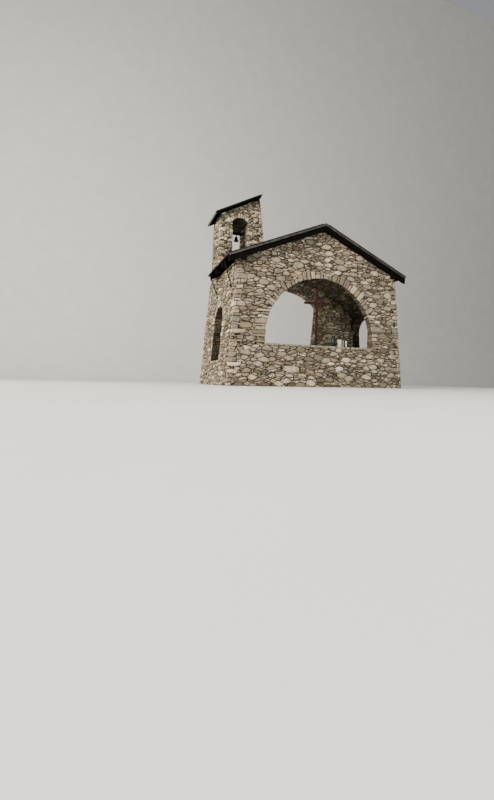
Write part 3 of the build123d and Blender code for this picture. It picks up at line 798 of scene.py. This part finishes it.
door_pile = new_pile("rear_doorway_stones")
door_outer, door_inner = [
    {side: corner_stones(door_pile, corner_place(lambda z: side * jamb_at(z), side, face, way),
                         floor_top, rear_spring) for side in (-1, 1)}
    for face, way in ((rear_face, -1), (pier_face, 1))]
half_angle = math.asin(door_half_width / rear_radius)
rear_wedges = cut_wedges(
    math.pi / 2 - half_angle, math.pi / 2 + half_angle, rear_radius, (0.08, 0.19), (0.2, 0.34), 0.035)
trim = joint_width / 2 / rear_radius
rear_arch_place = ring_place(0.0, rear_centre, rear_radius, rear_face, -1)
inner_arch_place = ring_place(0.0, rear_centre, rear_radius, pier_face, 1)
for low, high, reach in rear_wedges:
    add_block(door_pile, rear_arch_place, (-0.01, low + trim, -chance.uniform(0.008, 0.025)),
              (reach, high - trim, chance.uniform(0.25, 0.45)), joint=0.0)
    # The inner wedges are painted darker as painted shade.
    add_block(door_pile, inner_arch_place, (-0.01, low + trim, -past_face),
              (0.12, high - trim, chance.uniform(0.25, 0.45)), stone_tone(0.75), joint=0.0)
set_stones(door_pile, wall_rubble)

# Rear wall. Rubble round the doorway and up into the gable, leaning in like the front wall.
# At the foot of the tower the smaller stones of the tower take over.
tower_foot_width = 1.847
tower_right_lean = 0.125
tower_low = 4.45


def tower_right(z):
    return tower_foot_width - half_width(tower_foot) - tower_right_lean * (z - tower_foot)


def hold_rear(u, v, margin):
    if v > rear_spring:
        angle = math.atan2(v - rear_centre, u)
        if abs(angle - math.pi / 2) < half_angle + 0.06:
            u, v = push_out(u, v, 0.0, rear_centre, rear_radius + wedge_reach(rear_wedges, angle) + margin)
    elif v > floor_top:
        side = 1 if u > 0 else -1
        line = jamb_at(v) + reach_at(door_outer[side], v, 0) + margin
        if side * u < line:
            if v - floor_top < line - side * u:
                v = floor_top - margin
            else:
                u = side * line
    u = between(u, v, margin, left_edge(v), rear_left, half_width(v), rear_right, 0)
    if v > tower_low:
        u = max(u, tower_right(v) + margin)
    if u > tower_right(v):
        v = min(v, roof_line(u, roof_depth) - margin)
    return u, v


def rear_place(u, v, h):
    return Vector((u, rear_face(v) + h, v))


rear_pile = new_pile("rear_wall_stones")
lay_rubble(rear_pile, rear_place, -base_half_width, base_half_width, 0.0, gable_top, hold_rear)
set_stones(rear_pile, wall_rubble)

# Bell tower. The same rubble in slightly smaller stones, with its own corners. The bell's opening has
# a low arch of small wedge stones at the front and one long flat stone over it at the back.
tower_pile = new_pile("tower_stones")
tower_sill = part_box("tower_base")[1][2]
tower_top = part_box("tower_head")[1][2]
bell_left, bell_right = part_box("tower_left_pier")[1][0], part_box("tower_right_pier")[0][0]
bell_middle = (bell_left + bell_right) / 2
bell_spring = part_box("tower_head")[0][2]
bell_rise = 0.15
bell_radius = ((bell_right - bell_left) ** 2 / 4 + bell_rise ** 2) / (2 * bell_rise)
bell_centre = bell_spring + bell_rise - bell_radius
tower_slope = 0.512
tower_roof_depth = 0.074
tower_roof_low, tower_roof_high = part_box("tower_roof_sheet")
tower_eave = tower_roof_low[0]
tower_eave_top = tower_roof_high[2] - tower_slope * (tower_roof_high[0] - tower_eave)


def tower_roof_line(x):
    return tower_eave_top + tower_slope * (x - tower_eave) - tower_roof_depth * math.hypot(1, tower_slope)


def tower_face(z):
    return tower_front


tower_form = (0.014, (0.10, 0.30), (0.10, 0.28))
left_foot, left_top = 3.97, 5.80
right_foot, right_top = 4.62, 6.55
tower_front_left = corner_stones(
    tower_pile, corner_place(left_edge, 1, tower_face, 1), left_foot, left_top, *tower_form)
tower_front_right = corner_stones(
    tower_pile, corner_place(tower_right, -1, tower_face, 1), right_foot, right_top, *tower_form)
tower_rear_right = corner_stones(
    tower_pile, corner_place(tower_right, -1, rear_face, -1), right_foot, right_top, *tower_form)
# The front jambs, the head's wedges and the lintel are painted darker inside the bell opening as painted
# shade.
bell_jambs = {}
for key, x, sign in (("left", bell_left, -1), ("right", bell_right, 1)):
    for wall, face, way, inner_shade in (("front", tower_face, 1, 0.4), ("rear", rear_face, -1, 1.0)):
        bell_jambs[key, wall] = corner_stones(
            tower_pile, corner_place(lambda z: x, sign, face, way), tower_sill, bell_spring, 0.010,
            (0.09, 0.2), (0.2, 0.42), inner_shade)
bell_half_angle = math.asin((bell_right - bell_left) / 2 / bell_radius)
bell_wedges = cut_wedges(
    math.pi / 2 - bell_half_angle, math.pi / 2 + bell_half_angle, bell_radius,
    (0.06, 0.11), (0.11, 0.18), 0.12)
trim = joint_width / 2 / bell_radius
bell_front_place = ring_place(bell_middle, bell_centre, bell_radius, tower_face, 1)
for low, high, reach in bell_wedges:
    add_block(tower_pile, bell_front_place, (-0.006, low + trim, -chance.uniform(0.004, 0.018)),
              (reach, high - trim, 0.50), joint=0.0, edge=0.012, inner_shade=0.12)
lintel_left, lintel_right, lintel_top = bell_left - 0.17, bell_right + 0.15, bell_spring + 0.17
add_block(tower_pile, lambda a, b, c: Vector((a, rear_face(b) - c, b)),
          (lintel_left, bell_spring - 0.006, -0.014), (lintel_right, lintel_top, 0.40), stone_tone(),
          along=0, inner_shade=0.12)


def hold_tower(u, v, margin, wall):
    left_reaches = rear_left if wall == "rear" else tower_front_left
    right_reaches = tower_rear_right if wall == "rear" else tower_front_right
    if v > bell_spring and wall == "front":
        angle = math.atan2(v - bell_centre, u - bell_middle)
        if abs(angle - math.pi / 2) < bell_half_angle + 0.25:
            reach = wedge_reach(bell_wedges, angle)
            u, v = push_out(u, v, bell_middle, bell_centre, bell_radius + reach + margin)
    elif v > bell_spring:
        beside = min(u - lintel_left, lintel_right - u) + margin
        if beside > 0 and v < lintel_top + margin:
            if lintel_top + margin - v < beside:
                v = lintel_top + margin
            else:
                u = lintel_left - margin if u < bell_middle else lintel_right + margin
    elif v > tower_sill:
        left_line = bell_left - reach_at(bell_jambs["left", wall], v, 0) - margin
        right_line = bell_right + reach_at(bell_jambs["right", wall], v, 0) + margin
        u, v = push_aside(u, v, left_line, right_line, bell_middle, tower_sill, tower_sill - margin)
    u = between(u, v, margin, left_edge(v), left_reaches, tower_right(v), right_reaches, 0)
    return u, min(v, tower_roof_line(u) - margin)


def hold_tower_front(u, v, margin):
    u, v = hold_tower(u, v, margin, "front")
    return u, max(v, roof_line(u) + margin)


def hold_depth(front_line, front_reaches, rear_reaches):
    # Keeps the rubble of a wall that runs from front to rear between the corner stones at its ends.
    return lambda u, v, margin: (
        between(u, v, margin, front_line, front_reaches, rear_face(v), rear_reaches, 1), v)


small_sizes = ((0.145, 0.5), (0.108, 2.0), (0.080, 6.0))
tower_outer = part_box("tower_base")
depth_end = 1.7
left_low, right_low, right_high = 3.91, 4.50, 6.58
lay_rubble(tower_pile, lambda u, v, h: Vector((u, tower_front - h, v)), tower_outer[0][0], tower_outer[1][0],
           tower_foot, tower_top, hold_tower_front, small_sizes)
lay_rubble(tower_pile, rear_place, tower_outer[0][0], tower_outer[1][0],
           tower_low, tower_top, lambda u, v, margin: hold_tower(u, v, margin, "rear"), small_sizes)
lay_rubble(tower_pile, lambda u, v, h: Vector((left_edge(v) - h, u, v)), tower_front, depth_end,
           left_low, left_top, hold_depth(tower_front, tower_front_left, rear_left), small_sizes)
lay_rubble(tower_pile, lambda u, v, h: Vector((tower_right(v) + h, u, v)), tower_front, depth_end,
           right_low, right_high, hold_depth(tower_front, tower_front_right, tower_rear_right), small_sizes)
set_stones(tower_pile, wall_rubble)

# Chamber inside. The inner faces of the walls, the sides of the bell opening and the rear piers.
# It is the same rubble. The walls are painted darker as painted shade; the piers' stones are painted lighter
# as painted light.
# The chamber's stone is matt, painted almost black in its hollows as painted shade, with a brown-green film
# where it stays damp.
chamber_rubble = stone_finish("shade_darkened_chamber_stone", "#3f3d2a", 0.6, "#181410")
chamber_pile = new_pile("chamber_stones")
pier_pile = new_pile("rear_pier_stones")
chamber_head = 2.649
gable_inner_top = 3.7
pier_edge, pier_end = 1.4, 1.80
vault_radius, vault_centre = 3.40, 0.40
# The sides of the bell opening are painted darker as painted shade.
for key, x, sign in (("left", bell_left, 1), ("right", bell_right, -1)):
    lay_rubble(
        chamber_pile, lambda u, v, h: Vector((x + sign * h, u, v)), tower_front, depth_end,
        tower_sill, bell_spring, hold_depth(tower_front, bell_jambs[key, "front"], bell_jambs[key, "rear"]),
        small_sizes, proud=(0.005, 0.012), tone_and_painted_light=0.7)


def vault_line(x):
    return vault_centre + math.sqrt(max(0.0, vault_radius ** 2 - x * x))


def hold_chamber_front(u, v, margin):
    u, v = hold_arch(u, v, margin, arch_radius + arch_spread * (front_inner - front_level))
    return u, min(v, vault_line(u) - margin)


# The inner face of the front wall is painted darker as painted shade.
lay_rubble(chamber_pile, lambda u, v, h: Vector((u, front_inner + h, v)), -side_inner, side_inner,
           floor_top, gable_inner_top, hold_chamber_front, proud=(0.005, 0.014), tone_and_painted_light=0.62)
for side in (-1, 1):
    def hold_inner(u, v, margin):
        u, v = hold_window(side, u, v, margin, has_rear=False)
        return min(u, pier_front - margin), min(v, chamber_head - margin)

    def hold_pier(u, v, margin):
        u = max(u, jamb_at(v) + reach_at(door_inner[side], v, 0) + margin)
        if window_sill < v < window_spring:
            u = min(u, half_width(v) - 0.7 * (half_width(v) - side_inner) - margin)
        return u, min(v, vault_line(u) - margin)

    # The side walls are painted darker as painted shade; the piers' stones below are painted lighter as
    # painted light.
    lay_rubble(chamber_pile, lambda u, v, h: Vector((side * (side_inner - h), u, v)), front_inner, pier_front,
               floor_top, chamber_head, hold_inner, proud=(0.005, 0.014), tone_and_painted_light=0.62)
    lay_rubble(pier_pile, lambda u, v, h: Vector((side * u, pier_front - h, v)), pier_edge, side_inner + 0.2,
               floor_top, rear_spring, hold_pier, proud=(0.006, 0.018), tone_and_painted_light=1.35)
    lay_rubble(pier_pile, lambda u, v, h: Vector((side * (jamb_at(v) - h), u, v)), pier_front, pier_end,
               floor_top, rear_spring, hold_depth(pier_front, door_inner[side], door_outer[side]),
               proud=(0.006, 0.018), tone_and_painted_light=1.2)
set_stones(chamber_pile, chamber_rubble)
set_stones(pier_pile, wall_rubble)

# Vault. Long thin stones set on edge along the vault, and the same on the soffit of the rear arch.
# They were laid over boards, so they stand less proud than the stones of the walls.
vault_pile = new_pile("vault_stones")
vault_half = vault_radius * math.asin(side_inner / vault_radius)
soffit_half = rear_radius * half_angle
soffit_start, soffit_end = pier_front + 0.35, 1.35


def under_arch(radius, centre):
    # Places on the underside of an arch: u runs along it, v is measured round it, h hangs down from it.
    return lambda u, v, h: Vector((
        (radius - h) * math.sin(v / radius), u, centre + (radius - h) * math.cos(v / radius)))


# The vault and the soffit of the rear arch are painted darker as painted shade.
lay_rubble(vault_pile, under_arch(vault_radius, vault_centre), front_inner, pier_front,
           -vault_half, vault_half, proud=(0.008, 0.022), tone_and_painted_light=0.42)
lay_rubble(vault_pile, under_arch(rear_radius, rear_centre), soffit_start, soffit_end,
           -soffit_half, soffit_half, proud=(0.006, 0.012), tone_and_painted_light=0.7)
# The vault's stone and mortar are painted dull brown-black as painted shade, so only the proudest faces catch
# any light.
vault_rubble = stone_finish("shade_darkened_vault_stone", "#35331f", 0.7, "#14110c")
set_stones(vault_pile, vault_rubble)
shaded_vault_mortar, shader = new_finish("shade_darkened_vault_mortar", "#3a3328", 0.95)
blotches(shaded_vault_mortar, shader, 110, 6, "#1a1611", "#4a4234", 0.4, 0.65)
roughen(shaded_vault_mortar, shader, mortar_grain_mm, 6)
paint_nodes(shaded_vault_mortar, "barrel_vault")

# Floor. Worn flagstones bedded on the floor slab, from the parapet to the back of the doorway.
# They are greyer than the walls and lie almost level, with their edges rounded by feet.
flag_pile = new_pile("floor_flags")
flag_sizes = ((0.30, 1.0), (0.22, 3.0), (0.15, 5.0))
doorstep = 1.78


def hold_flag(u, v, margin):
    if v > pier_front - margin and abs(u) > jamb_at(floor_top) - margin:
        if v - pier_front < abs(u) - jamb_at(floor_top):
            v = pier_front - margin
        else:
            u = math.copysign(jamb_at(floor_top) - margin, u)
    return u, v


lay_rubble(flag_pile, lambda u, v, h: Vector((u, v, floor_top + h)), -side_inner, side_inner,
           front_inner, doorstep, hold_flag, flag_sizes, 1.2, (0.005, 0.009), 0.85)
# Worn stone is still matt, with broad grey patches, and painted shade with some dirt only in the joints.
floor_stone = stone_finish("worn_flagstone", "#5c594e", 0.5)
set_stones(flag_pile, floor_stone)

# Parapet coping. A lime and cement bed trowelled over the top course of the parapet.
# It is uneven and stained by rain, and gives a greyer and smoother line than the stones.
trowelled_mortar, shader = new_finish("trowelled_mortar", "#a0957f", 0.85)
blotches(trowelled_mortar, shader, 90, 8, "#564e40", "#aba08e", 0.38, 0.62)
roughen(trowelled_mortar, shader, 45, 14)
paint_nodes(trowelled_mortar, "parapet_coping")

# Roof timbers. Sawn softwood stained dark and painted almost black as painted shade for the shade under the
# verges and eaves:
# rafters, wall plates, ridge purlin and roof boards. The boards run along the eaves, 120 mm wide, with the
# narrow gaps between them painted black as painted shade.
# The stain hides the wood's colour and leaves a fine grain that shows where light grazes it.
board_width_mm = 120
board_gap_mm = 6


def stained_shaded_timber(name, light_hex, dark_hex, grain_axis):
    material, shader = new_finish(name, light_hex, 0.8, specular=0.03)
    place = add_node(material, "ShaderNodeTexCoord")
    stretch = [per_metre(12), per_metre(12), per_metre(12)]
    stretch[grain_axis] = per_metre(220)
    scaled = add_node(material, "ShaderNodeMapping", {
        "Vector": place.outputs["Object"], "Scale": tuple(stretch)})
    grain = add_node(material, "ShaderNodeTexNoise", {
        "Vector": scaled.outputs[0], "Scale": 1.0, "Detail": 5.0})
    ramp = add_node(material, "ShaderNodeValToRGB", {"Fac": grain.outputs["Fac"]})
    for element, position, hex_code in zip(ramp.color_ramp.elements, (0.35, 0.7), (dark_hex, light_hex)):
        element.position = position
        element.color = colour(hex_code)
    material.node_tree.links.new(ramp.outputs["Color"], shader.inputs["Base Color"])
    bump = add_node(material, "ShaderNodeBump", {
        "Height": grain.outputs["Fac"], "Distance": 0.002, "Strength": 0.6})
    material.node_tree.links.new(bump.outputs["Normal"], shader.inputs["Normal"])
    return material, shader


# Near-black colours: partly the dark stain, partly painted shade.
stained_shaded_rafter, _ = stained_shaded_timber("stained_shaded_rafter", "#15110e", "#070605", 0)
stained_shaded_plate, _ = stained_shaded_timber("stained_shaded_plate", "#1c1612", "#0a0807", 1)
stained_shaded_board, shader = stained_shaded_timber("stained_shaded_board", "#090706", "#020202", 1)
across = add_node(stained_shaded_board, "ShaderNodeSeparateXYZ", {
    "Vector": add_node(stained_shaded_board, "ShaderNodeTexCoord").outputs["Object"]})
boards = add_node(stained_shaded_board, "ShaderNodeMath", {
    0: across.outputs["X"], 1: per_metre(board_width_mm)}, operation="MULTIPLY")
part_of_board = add_node(stained_shaded_board, "ShaderNodeMath", {0: boards.outputs[0]}, operation="FRACT")
gap_shade_mask = add_node(stained_shaded_board, "ShaderNodeMath", {
    0: part_of_board.outputs[0], 1: board_gap_mm / board_width_mm}, operation="LESS_THAN")
# Painted shade: the gaps between the boards are black.
board_colour = add_node(stained_shaded_board, "ShaderNodeMix", {
    "Factor": gap_shade_mask.outputs[0], "A": shader.inputs["Base Color"].links[0].from_socket,
    "B": colour("#000000")}, data_type="RGBA")
stained_shaded_board.node_tree.links.new(board_colour.outputs["Result"], shader.inputs["Base Color"])
paint_nodes(stained_shaded_rafter, "left_rafters", "right_rafters", "bell_beam")
paint_nodes(stained_shaded_plate, "left_wall_plate", "right_wall_plate", "ridge_purlin")
paint_nodes(stained_shaded_board, "left_roof_boards", "right_roof_boards", "tower_roof_boards")

# Roof covering. Painted steel sheet, near-black brown, in long trays from the eaves to the ridge
# with upstanding seams folded between them, and a ridge cap over their ends.
# The factory paint has dulled to a faint sheen and the flat trays dip a little between the seams.
roof_sheet_paint, shader = new_finish("dulled_roof_paint", "#1c1816", 0.5, specular=0.3)
blotches(roof_sheet_paint, shader, 420, 4, "#120f0e", "#231f1d", 0.3, 0.7)
roughen(roof_sheet_paint, shader, 260, 2, detail=2.0, strength=0.3)
paint_nodes(roof_sheet_paint, "left_roof_sheet", "right_roof_sheet", "tower_roof_sheet", "ridge_cap")

# Verge strips and the tower's eave strip. Folded zinc sheet nailed over the edges of the boards.
# Weathered zinc keeps only a faint sheen, and dust and rain leave it in brown-grey streaks.
dull_zinc, shader = new_finish("dull_zinc_sheet", "#3e3d3b", 0.55, 0.3)
blotches(dull_zinc, shader, 120, 6, "#211f1e", "#55534f")
roughen(dull_zinc, shader, 180, 2, detail=3.0, strength=0.4)
paint_nodes(dull_zinc, "left_verge_strips", "right_verge_strips", "tower_eave_trim")

# Eave ties. Round steel bars from the eaves down to the side walls, with a plate at each end.
# Old dark paint over steel is matt and nearly black, with small red-brown spots of rust.
# The hanger and the clapper of the bell are iron with the same paint.
rusty_iron, shader = new_finish("rusty_painted_steel", "#0f0d0c", 0.75, 0.1, 0.2)
blotches(rusty_iron, shader, 35, 7, "#0b0a09", "#2c1b13", 0.5, 0.8)
roughen(rusty_iron, shader, 12, 1)
paint_nodes(rusty_iron, "left_eave_ties", "right_eave_ties", "bell_hanger", "clapper")

# Bell. Cast bronze on an iron hanger, with a turned ring at its shoulder, its waist and over its lip.
# Bronze left outdoors grows a dark brown-green skin that is dull but still metallic.
old_bronze, shader = new_finish("old_bell_bronze", "#3b3222", 0.45, 0.85)
blotches(old_bronze, shader, 45, 6, "#2a2418", "#544630", 0.35, 0.7)
roughen(old_bronze, shader, 20, 0.6)
paint_nodes(old_bronze, "bell")
bell_low, bell_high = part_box("bell")


def turn_profile(name, profile, place, material, body, segments=48, closed=False):
    # Turns a profile of radius and height round an upright line. A closed one makes a ring.
    x, y, z = place
    points, faces = [], []
    for radius, height in profile:
        for k in range(segments):
            angle = 2 * math.pi * k / segments
            points.append((x + radius * math.cos(angle), y + radius * math.sin(angle), z + height))
    rows = len(profile)
    for row in range(rows if closed else rows - 1):
        above = (row + 1) % rows * segments
        for k in range(segments):
            following = (k + 1) % segments
            faces.append((row * segments + k, row * segments + following, above + following, above + k))
    if not closed:
        faces.append(tuple(reversed(range(segments))))
        faces.append(tuple(range((rows - 1) * segments, rows * segments)))
    piece = add_piece(name, points, faces, material)
    piece.data.shade_smooth()
    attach(piece, body)
    return piece


for name, radius, height, thick in (
        ("bell_lip_ring", 0.0835, 0.022, 0.0022), ("bell_waist_ring", 0.0688, 0.062, 0.0020),
        ("bell_shoulder_ring", 0.0552, 0.122, 0.0020)):
    angles = [k * math.pi / 5 for k in range(10)]
    bead = [(radius + thick * math.cos(angle), thick * math.sin(angle)) for angle in angles]
    place = ((bell_low[0] + bell_high[0]) / 2, (bell_low[1] + bell_high[1]) / 2, bell_low[2] + height)
    turn_profile(name, bead, place, old_bronze, "bell", 64, closed=True)

# Cross. Two lengths of square steel tube welded together, with the upright set in the coping.
# The red-brown paint has gone matt and faded in blotches, and rust comes through it.
cross_paint, shader = new_finish("faded_red_brown_paint", "#33140d", 0.7, specular=0.25)
blotches(cross_paint, shader, 60, 6, "#1d0a07", "#40190f", 0.35, 0.75)
roughen(cross_paint, shader, 15, 1)
paint_nodes(cross_paint, "parapet_cross")

# Candles. Poured wax in plain round shapes, slightly hollow at the top round a short black wick.
# Wax is smooth and a little translucent, so its edges glow softly where light comes through.
candle_wax, shader = new_finish("candle_wax", "#b4afa3", 0.5)
shader.inputs["Subsurface Weight"].default_value = 0.3
shader.inputs["Subsurface Scale"].default_value = 0.01
shader.inputs["Subsurface Radius"].default_value = (0.6, 0.45, 0.3)
blotches(candle_wax, shader, 60, 4, "#a8a396", "#beb9af")
roughen(candle_wax, shader, 25, 0.5)
paint_nodes(candle_wax, "votive_candles")
candle_low, candle_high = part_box("votive_candles")
ornament_y = (candle_low[1] + candle_high[1]) / 2
parapet_top = candle_low[2]
big_radius, slim_radius = 0.080, 0.027
# A burnt wick is matt black cotton.
black_wick, shader = new_finish("charred_wick", "#1a1614", 0.9)
roughen(black_wick, shader, 6, 0.5)
candles = (
    ("big_candle", candle_low[0] + big_radius, big_radius, 0.25),
    ("slim_candle", candle_low[0] + 0.21, slim_radius, 0.23),
    ("second_candle", candle_high[0] - slim_radius, slim_radius, 0.23),
)
candle_pieces = []
for name, x, radius, height in candles:
    profile = [
        (radius * 0.96, 0.0), (radius, 0.006), (radius, height - 0.012), (radius * 0.985, height - 0.004),
        (radius * 0.93, height), (radius * 0.85, height - 0.003), (radius * 0.4, height - 0.010),
        (radius * 0.06, height - 0.011),
    ]
    place = (x, ornament_y, parapet_top)
    candle_pieces.append(turn_profile(name, profile, place, candle_wax, "chapel"))
    wick = [(0.0022, height - 0.013), (0.0022, height + 0.004), (0.0014, height + 0.009)]
    turn_profile(name + "_wick", wick, place, black_wick, "chapel", 10)
for piece in candle_pieces:
    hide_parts("votive_candles")

# Vase. Thrown stoneware with a full belly, a narrow neck and a flared lip, standing beside the candles.
# Its dark green glaze is glossy, in soft blotches from almost black to dark green.
green_glaze, shader = new_finish("dark_green_glaze", "#0b1712", 0.4, specular=0.25)
shader.inputs["Coat Weight"].default_value = 0.05
shader.inputs["Coat Roughness"].default_value = 0.15
blotches(green_glaze, shader, 70, 5, "#070f0c", "#14251d", 0.35, 0.7)
roughen(green_glaze, shader, 30, 0.4)
vase_profile = [
    (0.044, 0.0), (0.048, 0.004), (0.050, 0.012), (0.060, 0.035), (0.0705, 0.065), (0.077, 0.10),
    (0.080, 0.14), (0.0785, 0.18), (0.072, 0.222), (0.060, 0.257), (0.048, 0.280), (0.041, 0.297),
    (0.040, 0.315), (0.042, 0.333), (0.050, 0.355), (0.0555, 0.366), (0.055, 0.370), (0.052, 0.369),
    (0.047, 0.358), (0.036, 0.335), (0.031, 0.315), (0.031, 0.297), (0.040, 0.275), (0.060, 0.235),
    (0.070, 0.18), (0.071, 0.14), (0.062, 0.06), (0.040, 0.012), (0.004, 0.009),
]
vase_low, vase_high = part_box("flower_vase")
vase_place = ((vase_low[0] + vase_high[0]) / 2, ornament_y, parapet_top)
vase = turn_profile("glazed_vase", vase_profile, vase_place, green_glaze, "chapel", 64)
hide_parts("flower_vase")

# Studio. A pale floor and backdrop, a large soft light from the left, a weaker one from the right,
# and the camera where the photograph was taken from.
pale_floor, shader = new_finish("pale_studio_paint", "#dcdad5", 0.9)
blotches(pale_floor, shader, 900, 3, "#d8d6d1", "#dfddd8", 0.3, 0.7)
bend = [(14 + 6 * math.sin(a * math.pi / 20), 6 - 6 * math.cos(a * math.pi / 20)) for a in range(1, 11)]
points, faces = [], []
for y, z in [(-30, 0), (14, 0)] + bend + [(20, 40)]:
    points += [(-60, y, z), (60, y, z)]
for k in range(0, len(points) - 2, 2):
    faces.append((k, k + 1, k + 3, k + 2))
studio = add_piece("studio_floor", points, faces, pale_floor)
studio.data.shade_smooth()


def soft_light(name, place, target, size, power, hex_code):
    lamp = bpy.data.lights.new(name, "AREA")
    lamp.shape = "DISK"
    lamp.size = size
    lamp.energy = power
    lamp.color = colour(hex_code)[:3]
    holder = bpy.data.objects.new(name, lamp)
    holder.location = place
    holder.rotation_mode = "QUATERNION"
    holder.rotation_quaternion = (Vector(target) - Vector(place)).to_track_quat("-Z", "Y")
    bpy.context.scene.collection.objects.link(holder)


soft_light("key_from_left", (-25.0, -11.0, 16.0), (-0.5, 0, 2.5), 4.0, 16800, "#fff8ee")
soft_light("fill_from_front", (-3.0, -18.0, 4.5), (0.5, 0, 2.3), 6.0, 1100, "#f6f7fa")
soft_light("fill_from_behind", (13.0, 12.0, 9.0), (0, 1.0, 2.5), 8.0, 900, "#f6f7fa")
world = bpy.data.worlds.new("studio_air")
world.use_nodes = True
air = world.node_tree.nodes["Background"]
air.inputs["Color"].default_value = colour("#eef1f4")
air.inputs["Strength"].default_value = 0.34
bpy.context.scene.world = world

focal_pixels, picture_height = 377.194, 800
camera_data = bpy.data.cameras.new("camera")
camera_data.sensor_width = 36
camera_data.lens = focal_pixels / picture_height * camera_data.sensor_width
camera = bpy.data.objects.new("camera", camera_data)
yaw, pitch, roll = math.radians(19.47), math.radians(-2.822), math.radians(1.097)
forward = Vector((math.sin(yaw) * math.cos(pitch), math.cos(yaw) * math.cos(pitch), math.sin(pitch)))
level = Vector((math.cos(yaw), -math.sin(yaw), 0))
upright = level.cross(forward)
right = level * math.cos(roll) + upright * math.sin(roll)
upward = upright * math.cos(roll) - level * math.sin(roll)
turn = Matrix((right, upward, -forward)).transposed().to_4x4()
camera.matrix_world = Matrix.Translation(Vector((-6.17, -12.2635, 0.137))) @ turn
bpy.context.scene.collection.objects.link(camera)
bpy.context.scene.camera = camera
